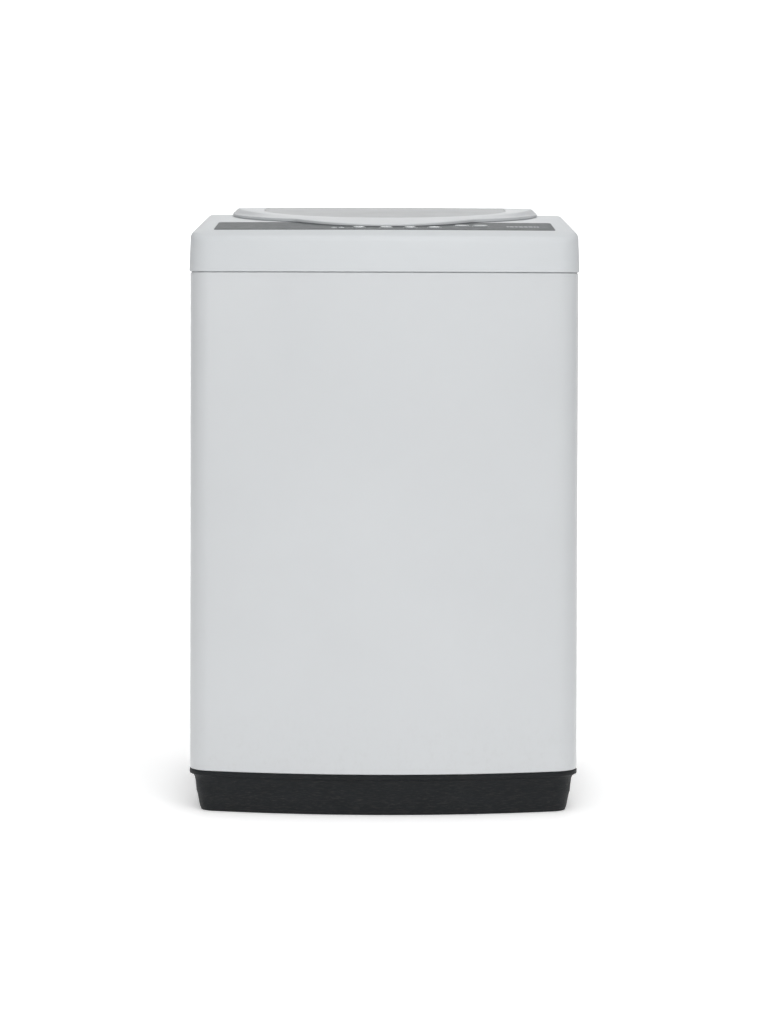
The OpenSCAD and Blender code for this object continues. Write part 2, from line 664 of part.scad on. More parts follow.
module pulsator() {
  color([0.74, 0.80, 0.86]) difference() {
    union() {
      spin([[9.05, 229], [40, 229], [60, 226.5], [puls_r - 6, 226.5], [puls_r, 232], [puls_r + 1, 244],
        [puls_r - 4, 246], [puls_r - 10, 238], [80, 242], [52, 252], [34, 272], [22, 280], [9.05, 280]],
        144);
      for (i = [0:puls_n - 1]) rotate([0, 0, i*360/puls_n]) intersection() {
        translate([0, 0, 230]) difference() { translate([60, 100, 0]) cylinder(h = 60, r = 116, $fn = 90);
          translate([60, 100, -1]) cylinder(h = 62, r = 104, $fn = 90);
          box(-300, 300, 20, 300, -2, 70);
          box(-300, 26, -300, 300, -2, 70);
        }
        spin([[20, 231], [puls_r - 6, 231], [puls_r - 8, 250], [90, 262], [30, 276], [20, 276]], 96);
      }
    }
    rod(0, 0, 17, 270, 290);
    for (i = [0:puls_n - 1]) for (r = [70, 100, 130]) rotate([0, 0, i*360/puls_n + 22])
      rod(r, 0, 3, 220, 262);
  }
}
module pulsator_shaft() {
  color([0.7, 0.7, 0.72]) spin([[0, 126], [8.95, 126], [8.95, 268], [0, 268]], 96);
}
module pulsator_screw() {
  color([0.75, 0.76, 0.78]) difference() {
    union() {
      rod(0, 0, 15, 270.3, 276);
      rod(0, 0, 9, 275.9, 280);
    }
    translate([-1.2, -8, 278.6]) cube([2.4, 16, 4]);
  }
}

// ---- draw -----------------------------------------------------------------
cabinet();
back_panel();
back_panel_screws();
base();
rear_feet();
top_cover();
cover_screws();
control_panel();
indicator_lights();
control_board();
inlet_valve();
dispenser_housing();
inlet_hose();
pressure_switch();
pressure_hose();
lid_switch();
hinge_pins();
suspension_seats();
suspension_rods();
suspension_cups();
cord_gland();
drain_outlet();
drain_hose();
motor_capacitor();
lid_frame();
lid_window();
lid_bumpers();
lid_magnet();
button_1();
button_2();
button_3();
button_4();
button_5();
button_6();
detergent_drawer();
front_left_foot();
front_right_foot();
front_left_locknut();
front_right_locknut();
outer_tub();
tub_ring();
mounting_plate();
gearbox();
motor();
drive_belt();
drain_valve();
valve_actuator();
suspension_springs();
drive_pulley();
motor_pulley();
basket();
basket_base();
balance_ring();
spin_tube();
filter_holder();
lint_filter();
pulsator();
pulsator_shaft();
pulsator_screw();
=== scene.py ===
"""Top load washing machine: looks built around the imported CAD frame."""
import json
import math
import bpy
import bmesh
import numpy as np
from mathutils import Vector, Matrix
from mathutils.geometry import delaunay_2d_cdt

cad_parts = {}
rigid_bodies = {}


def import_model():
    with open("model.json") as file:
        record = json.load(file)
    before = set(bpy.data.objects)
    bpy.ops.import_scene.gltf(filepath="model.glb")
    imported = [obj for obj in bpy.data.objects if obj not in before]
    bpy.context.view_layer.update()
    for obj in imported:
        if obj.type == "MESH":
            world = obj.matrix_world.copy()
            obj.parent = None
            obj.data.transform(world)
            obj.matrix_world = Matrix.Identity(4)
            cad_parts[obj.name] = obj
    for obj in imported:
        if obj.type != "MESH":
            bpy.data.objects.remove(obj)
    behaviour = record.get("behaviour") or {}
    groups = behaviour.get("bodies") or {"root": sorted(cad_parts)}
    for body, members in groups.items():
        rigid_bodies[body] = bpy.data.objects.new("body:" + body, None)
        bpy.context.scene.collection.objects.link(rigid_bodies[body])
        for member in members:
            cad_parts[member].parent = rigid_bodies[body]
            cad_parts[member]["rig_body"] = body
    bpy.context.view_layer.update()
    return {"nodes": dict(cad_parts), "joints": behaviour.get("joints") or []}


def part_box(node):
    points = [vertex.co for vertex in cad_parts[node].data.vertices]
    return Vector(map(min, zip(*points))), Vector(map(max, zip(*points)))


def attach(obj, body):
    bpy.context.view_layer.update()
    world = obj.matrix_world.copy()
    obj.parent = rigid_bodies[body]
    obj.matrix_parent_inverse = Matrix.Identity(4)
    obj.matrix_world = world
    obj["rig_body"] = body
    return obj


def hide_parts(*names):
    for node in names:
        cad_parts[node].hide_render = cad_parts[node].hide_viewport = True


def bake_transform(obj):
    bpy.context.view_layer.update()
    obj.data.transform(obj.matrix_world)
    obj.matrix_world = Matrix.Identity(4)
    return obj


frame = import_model()
NODE = frame["nodes"]
MM = 0.001


def bx(node):
    """Low and high corner of a node's box, in millimetres."""
    low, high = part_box(node)
    return [v / MM for v in low], [v / MM for v in high]


# ---- driving sizes, from the frame (millimetres) ---------------------------
HW, HD, _ = bx("top_cover")[1]      # half width and half depth
CAB_LO, CAB_HI = bx("cabinet")
SEAM = CAB_HI[2] + 0.3              # underside of the top cover
BOW = 826.0                         # radius of the bowed front
COR = 40.0                          # radius of the front corners
BY = -HD + BOW                      # centre of the bow
CX = HW - COR                       # centre of the right front corner
CY = BY - math.sqrt((BOW - COR) ** 2 - CX ** 2)
CA = math.degrees(math.atan2(BY - CY, CX))
GAP = 1.0                           # between deck and lid
COVER_WALL = 2.3                    # wall of the top cover
MOUTH_R, MOUTH_FLAT = 168, 150      # radius of the mouth and its flat at the back
FILM_U = (30, 105)                  # front and rear of the control film, from the bowed front
INLET_X, INLET_Z = 130, 765         # centre of the water inlet
HINGE_Y, HINGE_Z = 206, 794         # hinge line of the lid
PRINT_H = 0.31                      # height of the printed marks over the deck


def arc(cx, cy, r, a0, a1, n, last=True):
    """Points on an arc from angle a0 to a1 in degrees, with or without the last one."""
    a = np.radians(np.linspace(a0, a1, n + 1))
    if not last:
        a = a[:-1]
    return np.c_[cx + r * np.cos(a), cy + r * np.sin(a)]


def line(p, q, n):
    """n points from p towards q, without q."""
    t = np.linspace(0, 1, n + 1)[:-1, None]
    return np.array(p) * (1 - t) + np.array(q) * t


def plan(o=0.0, b=0.0):
    """Body outline inset by o, and by b more at the back, anticlockwise from the left end of the bow."""
    rr = max(2.0, 9.0 - o)
    r, y1 = HW - o - rr, HD - o - b - rr
    return np.vstack([
        arc(0, BY, BOW - o, -180 + CA, -CA, 96, False),
        arc(CX, CY, COR - o, -CA, 0, 14, False),
        line((HW - o, CY), (HW - o, y1), 26),
        arc(r, y1, rr, 0, 90, 6, False),
        line((r, HD - o - b), (-r, HD - o - b), 30),
        arc(-r, y1, rr, 90, 180, 6, False),
        line((-HW + o, y1), (-HW + o, CY), 26),
        arc(-CX, CY, COR - o, 180, 180 + CA, 14, False)])


def arched(a, b, yc, n, yb, rc, k=110):
    """Curved front (half a superellipse), short straight sides, rounded corners at the back."""
    t = np.linspace(0, math.pi, k + 1)[:-1]
    c, q = -np.cos(t), np.sin(t)
    return np.vstack([
        np.c_[a * np.sign(c) * np.abs(c) ** (2 / n), yc - b * q ** (2 / n)],
        line((a, yc), (a, yb - rc), 6),
        arc(a - rc, yb - rc, rc, 0, 90, 9, False),
        line((a - rc, yb), (-a + rc, yb), 30),
        arc(-a + rc, yb - rc, rc, 90, 180, 9, False),
        line((-a, yb - rc), (-a, yc), 6)])


def lid_o(o=0.0):
    """Outline of the lid, grown by o."""
    return arched(219 + o, 400 + o, 195, 2.15, 213 + o, 7 + max(o, -5))


def win_o(o=0.0):
    """Outline of the lid window, grown by o."""
    return arched(168 + o, 185 + o, 25, 2, 165 + o, 34 + o)


def mouth(o=0.0):
    """Outline of the opening over the basket, grown by o: a circle with a flat at the back."""
    r, f = MOUTH_R + o, MOUTH_FLAT + o
    a = math.degrees(math.asin(f / r))
    c = math.sqrt(r * r - f * f)
    xs = [c, 71.5, 60, 45, 30, 15, 0, -15, -30, -45, -60, -71.5]
    if c <= 71.5:
        xs[1] = c - 0.5
        xs[-1] = -c + 0.5
    return np.vstack([arc(0, 0, r, 180 - a, 360 + a, 120, False), np.array([(x, f) for x in xs])])


def round_angles(n):
    """n angles round a full turn."""
    return np.linspace(0, 2 * math.pi, n, endpoint=False)


def circle(cx, cy, r, n):
    t = round_angles(n)
    return np.c_[cx + r * np.cos(t), cy + r * np.sin(t)]


def rect(x0, x1, y0, y1, r, n=5, m=10):
    """Rounded rectangle: n steps round each corner, m up each side and 3 m along the front and back."""
    return np.vstack([
        arc(x1 - r, y0 + r, r, -90, 0, n, False), line((x1, y0 + r), (x1, y1 - r), m),
        arc(x1 - r, y1 - r, r, 0, 90, n, False), line((x1 - r, y1), (x0 + r, y1), m * 3),
        arc(x0 + r, y1 - r, r, 90, 180, n, False), line((x0, y1 - r), (x0, y0 + r), m),
        arc(x0 + r, y0 + r, r, 180, 270, n, False), line((x0 + r, y0), (x1 - r, y0), m * 3)])


def bend(u, u0, ds, w):
    """Adds slope ds after u0, blended over +-w."""
    u = np.asarray(u, float)
    return np.where(u < u0 - w, 0, np.where(u > u0 + w, ds * (u - u0), ds * (u - u0 + w) ** 2 / (4 * w)))


def u_of(p):
    """Distance behind the bowed front."""
    p = np.asarray(p, float)
    return BOW - np.hypot(p[..., 0], BY - p[..., 1])


# deck: height at the front of the film, and the slopes of its four runs
DECK_Z = 774.6
S1, S2, S3, S4 = 7.2 / 21, 11.4 / 75, 18.9 / 325, 2.6 / 115
# lid: distance behind the front and height
LIDT = [(60, 782.6), (102, 792), (180, 799.6), (250, 805.4), (318, 810), (365, 812.6), (420, 813.8),
        (478, 814.1), (545, 814.2)]
# shoulders: height, distance behind the front and slopes of the plane that cuts both sides
SHOULDER_Z, SHOULDER_Y, SHOULDER_RISE, SHOULDER_TILT = 772.2, 108, 4.36, 20.15


def deck(p):
    """Height of the deck."""
    u = u_of(p)
    front, rear = FILM_U
    bends = bend(u, front, S2 - S1, 2.0) + bend(u, rear, S3 - S2, 5.0) + bend(u, 430, S4 - S3, 14.0)
    return DECK_Z + (u - front) * S1 + bends


def skin(p):
    """Deck with the straight shoulders planed off both sides."""
    p = np.asarray(p, float)
    rise, tilt = math.tan(math.radians(SHOULDER_RISE)), math.tan(math.radians(SHOULDER_TILT))
    a = deck(p)
    b = SHOULDER_Z + (p[..., 1] + HD - SHOULDER_Y) * rise + (HW - np.abs(p[..., 0])) * tilt
    soft = 0.6
    return a - soft * np.log1p(np.exp(np.clip((a - b) / soft, -60, 60)))


def lidz(p):
    """Height of the lid's top."""
    u = u_of(p)
    k = [(b[1] - a[1]) / (b[0] - a[0]) for a, b in zip(LIDT, LIDT[1:])]
    z = LIDT[0][1] + (u - LIDT[0][0]) * k[0]
    for i in range(1, len(k)):
        z = z + bend(u, LIDT[i][0], k[i] - k[i - 1], 3.0 if i == 1 else 22.0)
    return z


def xyz(p, z):
    """Plan points lifted to height z, one value or one each."""
    z = np.broadcast_to(np.asarray(z, float), (len(p),))
    return np.c_[p, z]


# ---- mesh helpers -----------------------------------------------------------
class Piece:
    """Collects verts and faces, welds, shades and gives one object."""

    def __init__(self):
        self.verts, self.faces = [], []

    def add(self, verts, faces):
        k = len(self.verts)
        self.verts += [tuple(map(float, v)) for v in verts]
        self.faces += [[i + k for i in f] for f in faces]

    def cap(self, ring):
        """One face over the end of a loft."""
        self.add(ring, [list(range(len(ring)))])

    def loft(self, rings, ring_closed=False, skip=None):
        """Quads from ring to ring; skip(centre) leaves a quad out."""
        n, count = len(rings[0]), len(rings)
        faces = []
        for i in range(count if ring_closed else count - 1):
            a, b = i * n, ((i + 1) % count) * n
            for j in range(n):
                f = [a + j, a + (j + 1) % n, b + (j + 1) % n, b + j]
                if skip is None or not skip(np.mean([rings[x // n][x % n] for x in f], 0)):
                    faces.append(f)
        self.add(np.vstack(rings), faces)

    def fill(self, outer, holes, step, z):
        """Region between loops, triangulated on a grid, at height z or z(points)."""
        loops = [np.asarray(outer)[:, :2]] + [np.asarray(h)[:, :2] for h in holes]
        lo, hi = loops[0].min(0), loops[0].max(0)
        gx, gy = np.meshgrid(np.arange(lo[0] + step / 2, hi[0], step),
                             np.arange(lo[1] + step / 2, hi[1], step))
        grid = np.c_[gx.ravel(), gy.ravel()]
        ring = np.vstack(loops)
        grid = grid[between(grid, loops)]
        if len(grid):
            near = np.sqrt(((grid[:, None, :] - ring[None, :, :]) ** 2).sum(2)).min(1)
            grid = grid[near > step * 0.45]
        points = np.vstack([ring, grid]) if len(grid) else ring
        edges, k = [], 0
        for loop in loops:
            edges += [(k + i, k + (i + 1) % len(loop)) for i in range(len(loop))]
            k += len(loop)
        v, _, faces, _, _, _ = delaunay_2d_cdt([Vector(q) for q in points], edges, [], 0, 1e-6)
        v = np.array([tuple(q) for q in v])
        faces = [list(f) for f in faces]
        kept = between(np.array([v[f].mean(0) for f in faces]), loops)
        out = []
        for f in [f for f, t in zip(faces, kept) if t]:
            a, b, c = v[f[0]], v[f[1]], v[f[2]]
            area = (b[0] - a[0]) * (c[1] - a[1]) - (b[1] - a[1]) * (c[0] - a[0])
            if abs(area) > 0.02:        # flat slivers along straight sides are dropped
                out.append(f)
        self.add(np.c_[v, z(v) if callable(z) else np.full(len(v), float(z))], out)

    def box(self, x0, x1, y0, y1, z0, z1, r=0.8):
        """Box with chamfered edges."""
        r = min(r, (x1 - x0) / 3, (y1 - y0) / 3, (z1 - z0) / 3)
        o = rect(x0, x1, y0, y1, r * 1.6, 2, 1)
        i = rect(x0 + r, x1 - r, y0 + r, y1 - r, r, 2, 1)
        self.loft([xyz(i, z0), xyz(o, z0 + r), xyz(o, z1 - r), xyz(i, z1)])
        whole = 500     # a grid step larger than any box
        self.fill(i, (), whole, z1)
        self.fill(i, (), whole, z0)

    def turn(self, prof, c=(0, 0), n=64, closed=False, axis="z"):
        """Revolves (r, z) points about a vertical line at c, or about Y when axis is y."""
        a = round_angles(n)
        rings = []
        for r, z in prof:
            r = max(r, 1e-4)
            if axis == "z":
                rings.append(np.c_[c[0] + r * np.cos(a), c[1] + r * np.sin(a), np.full(n, z)])
            else:       # c is (x, z), z runs along +Y
                rings.append(np.c_[c[0] + r * np.cos(a), np.full(n, z), c[1] - r * np.sin(a)])
        self.loft(rings, closed)

    def obj(self, name, material, body, nodes=(), slot=None, weld=0.004, smooth=38, solid=None):
        """Makes the object; solid is a wall thickness laid on the inner side."""
        me = bpy.data.meshes.new(name)
        v = np.array(self.verts) * MM
        me.from_pydata(v.tolist(), [], self.faces)
        me.materials.append(material)
        b = bmesh.new()
        b.from_mesh(me)
        bmesh.ops.remove_doubles(b, verts=b.verts, dist=weld * MM)
        bmesh.ops.dissolve_degenerate(b, dist=1e-7, edges=b.edges)
        loose = [x for x in b.verts if not x.link_faces]
        bmesh.ops.delete(b, geom=loose, context="VERTS")
        bmesh.ops.recalc_face_normals(b, faces=b.faces)
        b.to_mesh(me)
        b.free()
        me.validate()
        o = bpy.data.objects.new(name, me)
        bpy.context.scene.collection.objects.link(o)
        if solid:
            add_mod(o, "SOLIDIFY", thickness=solid * MM, offset=-1.0, use_even_offset=True,
                    use_quality_normals=True)
            apply_mods(o)
        shade(o, smooth)
        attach(o, body)
        if nodes:
            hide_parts(*nodes)
        return o


def inside(p, loop):
    """Even-odd test of points against a loop."""
    x, y = p[:, 0], p[:, 1]
    r = np.zeros(len(p), bool)
    q = np.roll(loop, -1, 0)
    for (x0, y0), (x1, y1) in zip(loop, q):
        if y0 == y1:
            continue
        c = (y0 > y) != (y1 > y)
        r ^= c & (x < (x1 - x0) * (y - y0) / (y1 - y0) + x0)
    return r


def between(p, loops):
    """Points inside the first loop and outside the others."""
    r = inside(p, loops[0])
    for h in loops[1:]:
        r &= ~inside(p, h)
    return r


def add_mod(o, kind, **settings):
    md = o.modifiers.new(kind.title(), kind)
    for k, v in settings.items():
        setattr(md, k, v)


def apply_mods(o):
    dg = bpy.context.evaluated_depsgraph_get()
    me = bpy.data.meshes.new_from_object(o.evaluated_get(dg), depsgraph=dg)
    old = o.data
    o.modifiers.clear()
    o.data = me
    bpy.data.meshes.remove(old)
    me.name = o.name


def shade(o, angle):
    """Smooth shading with sharp edges above an angle in degrees."""
    me = o.data
    me.polygons.foreach_set("use_smooth", [True] * len(me.polygons))
    b = bmesh.new()
    b.from_mesh(me)
    lim = math.radians(angle)
    for e in b.edges:
        e.smooth = len(e.link_faces) == 2 and e.calc_face_angle(0) <= lim
    b.to_mesh(me)
    b.free()


def fillet(r, n):
    """Quarter round as (inset, drop) pairs, from the vertical side up to the flat top."""
    return [(r * (1 - math.cos(a)), r * (1 - math.sin(a))) for a in np.linspace(0, math.pi / 2, n + 1)]


# ---- materials ----------------------------------------------------------------
def mat(name, col, rough=0.4, metal=0.0, var=0.06, scale=18.0, bump=0.02, bscale=900.0, rvar=0.12, coat=0.0,
        wave=0.0, wscale=6.0, dirt=0.0, brushed=None, trans=0.0, ior=1.45, sss=0.0):
    """Procedural surface: two layers of colour variation, roughness variation, fine grain, slow waviness.

    Colour and roughness use object coordinates. Grain, waves and dirt spots use generated ones, so their
    scales count over the whole piece.
    """
    m = bpy.data.materials.new(name)
    m.use_nodes = True
    t = m.node_tree
    t.nodes.clear()
    N, L = t.nodes.new, t.links.new
    out, p = N("ShaderNodeOutputMaterial"), N("ShaderNodeBsdfPrincipled")
    L(p.outputs[0], out.inputs[0])
    tc = N("ShaderNodeTexCoord")
    here, whole = tc.outputs["Object"], tc.outputs["Generated"]

    def noise(s, detail, rough=0.55, src=here):
        n = N("ShaderNodeTexNoise")
        n.inputs["Scale"].default_value = s
        n.inputs["Detail"].default_value = detail
        n.inputs["Roughness"].default_value = rough
        L(src, n.inputs["Vector"])
        return n.outputs[0]

    def ramp(src, a, b, lo, hi):
        r = N("ShaderNodeMapRange")
        r.inputs["From Min"].default_value, r.inputs["From Max"].default_value = a, b
        r.inputs["To Min"].default_value, r.inputs["To Max"].default_value = lo, hi
        L(src, r.inputs["Value"])
        return r.outputs[0]

    def mix(fac, a, b):
        x = N("ShaderNodeMix")
        x.data_type = "RGBA"
        for k, v in ((0, fac), (6, a), (7, b)):
            if hasattr(v, "default_value"):
                L(v, x.inputs[k])
            elif isinstance(v, (int, float)):
                x.inputs[k].default_value = v
            else:
                x.inputs[k].default_value = (*v[:3], 1)
        return x.outputs[2]

    c = np.array(col[:3], float)
    big = noise(scale, 5)
    small = noise(scale * 9, 3)
    cc = mix(ramp(big, 0.3, 0.7, 0, 1), tuple(c * (1 - var)), tuple(np.minimum(c * (1 + var), 1)))
    cc = mix(ramp(small, 0.35, 0.75, 0, var * 1.5), cc, tuple(c * (1 - 2.2 * var)))
    if dirt:                                        # spots that thin out above 0.16 m
        axes = N("ShaderNodeSeparateXYZ")
        L(here, axes.inputs[0])
        low = ramp(axes.outputs[2], 0.0, 0.16, 1, 0)
        spot = noise(60, 6, 0.7, whole)
        mul = N("ShaderNodeMath")
        mul.operation = "MULTIPLY"
        L(ramp(spot, 0.5, 0.72, 0, dirt), mul.inputs[0])
        L(low, mul.inputs[1])
        cc = mix(mul.outputs[0], cc, (0.32, 0.28, 0.23))
    L(cc, p.inputs["Base Color"])
    p.inputs["Metallic"].default_value = metal
    L(ramp(noise(scale * 2.3, 6, 0.65), 0.3, 0.72, max(0.02, rough - rvar * 0.5),
           min(1, rough + rvar * 0.5)), p.inputs["Roughness"])
    p.inputs["IOR"].default_value = ior
    if coat:
        p.inputs["Coat Weight"].default_value = coat
        p.inputs["Coat Roughness"].default_value = 0.12
    if trans:
        p.inputs["Transmission Weight"].default_value = trans
    if sss:
        p.inputs["Subsurface Weight"].default_value = sss
        p.inputs["Subsurface Radius"].default_value = (0.004, 0.004, 0.004)
        p.inputs["Subsurface Scale"].default_value = 0.5
    layers = []                                     # height, strength and depth in metres
    if wave:
        layers.append((noise(wscale, 1.5, 0.4, whole), wave, 0.01))
    if brushed:
        lengths = N("ShaderNodeMapping")
        lengths.inputs["Scale"].default_value = brushed
        L(here, lengths.inputs[0])
        layers.append((noise(1.0, 3, 0.6, lengths.outputs[0]), bump, 0.0004))
        layers.append((noise(bscale, 2, 0.5, whole), bump * 0.4, 0.0003))
    else:
        layers.append((noise(bscale, 3, 0.6, whole), bump, 0.0006))
        layers.append((noise(bscale * 0.22, 2, 0.5, whole), bump * 0.6, 0.001))
    normal = None
    for height, strength, depth in layers:
        b = N("ShaderNodeBump")
        b.inputs["Strength"].default_value = strength
        b.inputs["Distance"].default_value = depth
        L(height, b.inputs["Height"])
        if normal is not None:
            L(normal, b.inputs["Normal"])
        normal = b.outputs[0]
    L(normal, p.inputs["Normal"])
    return m


WHITE = mat("enamel_white", (0.655, 0.673, 0.687), 0.33, var=0.012, scale=5, bump=0.10, bscale=520,
            rvar=0.08, wave=0.25, wscale=5, dirt=0.12, coat=0.3)
COVER = mat("cover_plastic", (0.650, 0.672, 0.688), 0.52, var=0.012, scale=7, bump=0.12, bscale=1500,
            rvar=0.10, wave=0.05, wscale=9)
LIDW = mat("lid_plastic", (0.655, 0.672, 0.686), 0.5, var=0.012, scale=8, bump=0.08, bscale=1400, rvar=0.10)
BLACK = mat("base_plastic", (0.006, 0.008, 0.010), 0.55, var=0.12, scale=25, bump=0.25, bscale=1800,
            rvar=0.1, dirt=0.1, ior=1.33)
FILM = mat("panel_film", (0.10, 0.11, 0.115), 0.55, var=0.04, scale=40, bump=0.10, bscale=2600, rvar=0.12)
FILM2 = mat("panel_print_light", (0.55, 0.58, 0.59), 0.45, var=0.05, scale=60, bump=0.08, bscale=2600)
BUTTON = mat("button_plastic", (0.36, 0.38, 0.39), 0.32, var=0.03, scale=60, bump=0.06, bscale=2600,
             coat=0.2)
LAMP = mat("lamp_lens", (0.55, 0.60, 0.60), 0.18, var=0.05, scale=200, bump=0.05, bscale=2600, coat=0.4)
GREYST = mat("back_enamel", (0.62, 0.64, 0.65), 0.42, var=0.03, scale=8, bump=0.15, bscale=600, wave=0.2,
             dirt=0.3)
ZINC = mat("zinc_plate", (0.50, 0.51, 0.50), 0.38, 1.0, var=0.16, scale=42, bump=0.25, bscale=700,
           rvar=0.25)
SCREW = mat("screw_zinc", (0.58, 0.57, 0.53), 0.34, 1.0, var=0.14, scale=220, bump=0.3, bscale=2500,
            rvar=0.2)
STEEL = mat("stainless", (0.60, 0.61, 0.61), 0.24, 1.0, var=0.05, scale=14, bump=0.30, bscale=1500,
            rvar=0.12, brushed=(60, 60, 1400))
RODM = mat("drawn_steel", (0.48, 0.48, 0.48), 0.33, 1.0, var=0.10, scale=60, bump=0.3, bscale=1500,
           brushed=(900, 900, 30))
ALU = mat("cast_aluminium", (0.50, 0.51, 0.52), 0.52, 1.0, var=0.12, scale=70, bump=0.6, bscale=900,
          rvar=0.2)
DARKM = mat("motor_enamel", (0.035, 0.04, 0.045), 0.36, var=0.15, scale=40, bump=0.3, bscale=900, coat=0.2)
SPRING = mat("spring_steel", (0.22, 0.22, 0.23), 0.36, 1.0, var=0.18, scale=90, bump=0.3, bscale=1500)
RUBBER = mat("rubber_black", (0.022, 0.022, 0.023), 0.62, var=0.25, scale=60, bump=0.5, bscale=1200,
             rvar=0.2, dirt=0.3)
HOSE = mat("hose_rubber", (0.05, 0.05, 0.053), 0.55, var=0.2, scale=50, bump=0.4, bscale=1100)
NYLON = mat("nylon", (0.66, 0.66, 0.61), 0.42, var=0.05, scale=50, bump=0.15, bscale=1400, sss=0.15)
TUBP = mat("tub_plastic", (0.60, 0.63, 0.63), 0.42, var=0.05, scale=12, bump=0.3, bscale=700, rvar=0.16,
           sss=0.1)
BPLAST = mat("basket_plastic", (0.70, 0.73, 0.75), 0.30, var=0.03, scale=16, bump=0.12, bscale=1100,
             coat=0.2)
PULSE = mat("pulsator_plastic", (0.50, 0.60, 0.70), 0.28, var=0.04, scale=20, bump=0.12, bscale=1200,
            coat=0.3)
DRAW = mat("drawer_plastic", (0.55, 0.64, 0.72), 0.25, var=0.04, scale=40, bump=0.08, bscale=1400, coat=0.2)
FILT = mat("filter_plastic", (0.10, 0.22, 0.33), 0.42, var=0.10, scale=60, bump=0.35, bscale=1600)
PCB = mat("board", (0.02, 0.12, 0.055), 0.4, var=0.15, scale=120, bump=0.3, bscale=1600)
BLKP = mat("black_part", (0.03, 0.03, 0.033), 0.42, var=0.15, scale=60, bump=0.3, bscale=1500)
MAGN = mat("ferrite", (0.05, 0.05, 0.052), 0.6, 0.3, var=0.2, scale=120, bump=0.5, bscale=1500)
SMOKE = mat("smoked_window", (0.36, 0.39, 0.41), 0.3, var=0.05, scale=10, bump=0.004, bscale=160, rvar=0.04,
            trans=0.75, ior=1.49)

NODE_LOOK = {
    "back_panel_screws": SCREW, "rear_feet": RUBBER, "cover_screws": SCREW, "control_board": PCB,
    "inlet_valve": NYLON, "dispenser_housing": TUBP, "inlet_hose": HOSE, "pressure_switch": BLKP,
    "pressure_hose": HOSE, "lid_switch": NYLON, "hinge_pins": RODM, "suspension_seats": NYLON,
    "suspension_rods": RODM, "suspension_cups": NYLON, "cord_gland": RUBBER, "drain_outlet": BLKP,
    "drain_hose": HOSE, "motor_capacitor": BLKP, "lid_bumpers": RUBBER, "lid_magnet": MAGN,
    "detergent_drawer": DRAW, "front_left_foot": RUBBER, "front_right_foot": RUBBER,
    "front_left_locknut": SCREW, "front_right_locknut": SCREW, "outer_tub": TUBP, "tub_ring": TUBP,
    "mounting_plate": ZINC, "gearbox": ALU, "motor": DARKM, "drive_belt": RUBBER, "drain_valve": NYLON,
    "valve_actuator": BLKP, "suspension_springs": SPRING, "drive_pulley": ALU, "motor_pulley": ALU,
    "basket_base": BPLAST, "balance_ring": BPLAST, "spin_tube": RODM, "filter_holder": BPLAST,
    "lint_filter": FILT, "pulsator": PULSE, "pulsator_shaft": RODM, "pulsator_screw": SCREW,
    "back_panel": GREYST, "cabinet": WHITE, "base": BLACK, "top_cover": COVER, "control_panel": FILM,
    "indicator_lights": LAMP, "basket": STEEL, "lid_frame": LIDW, "lid_window": SMOKE}
for n, o in NODE.items():
    o.data.materials.clear()
    o.data.materials.append(NODE_LOOK.get(n, BUTTON))


# ---- cabinet ------------------------------------------------------------------
def cabinet():
    """Steel wrapper, open at the rear where the back panel goes, with brackets in its corners."""
    p = Piece()
    z0, z1 = CAB_LO[2], CAB_HI[2]
    o0, bk = 1.3, 2.7           # set in from the cover's outline, all round and at the back
    hem = 1.2
    zs = [z0 + hem] + list(np.linspace(92, 684, 20)) + [z1 - 1.1]
    rings = [xyz(plan(15, bk), z0), xyz(plan(8, bk), z0), xyz(plan(o0 + hem, bk), z0)]
    for a in (math.radians(30), math.radians(60)):
        rings.append(xyz(plan(o0 + hem * (1 - math.sin(a)), bk), z0 + hem * (1 - math.cos(a))))
    for z in zs:
        rings.append(xyz(plan(o0, bk), z))
    rear = HD - o0 - bk - 0.6

    def opening(c):
        return c[1] > rear and abs(c[0]) < 200 and 92 < c[2] < 684
    p.loft(rings, skip=opening)
    p.obj("cabinet_shell", WHITE, "cabinet", ["cabinet"], "white_steel", solid=1.0)
    q = Piece()
    for reach, y0, y1, z0, z1 in ((HW - 2.8, 196, 250, 700, 702), (243, -214, -166, 700, 702),
                                  (HW - 6, -192.4, -190.4, 690, 700.5), (HW - 2.4, 204, 206, 690, 700.5)):
        q.box(-reach, -206, y0, y1, z0, z1, 0.4)
        q.box(206, reach, y0, y1, z0, z1, 0.4)
    q.obj("corner_brackets", ZINC, "cabinet", slot="white_steel")


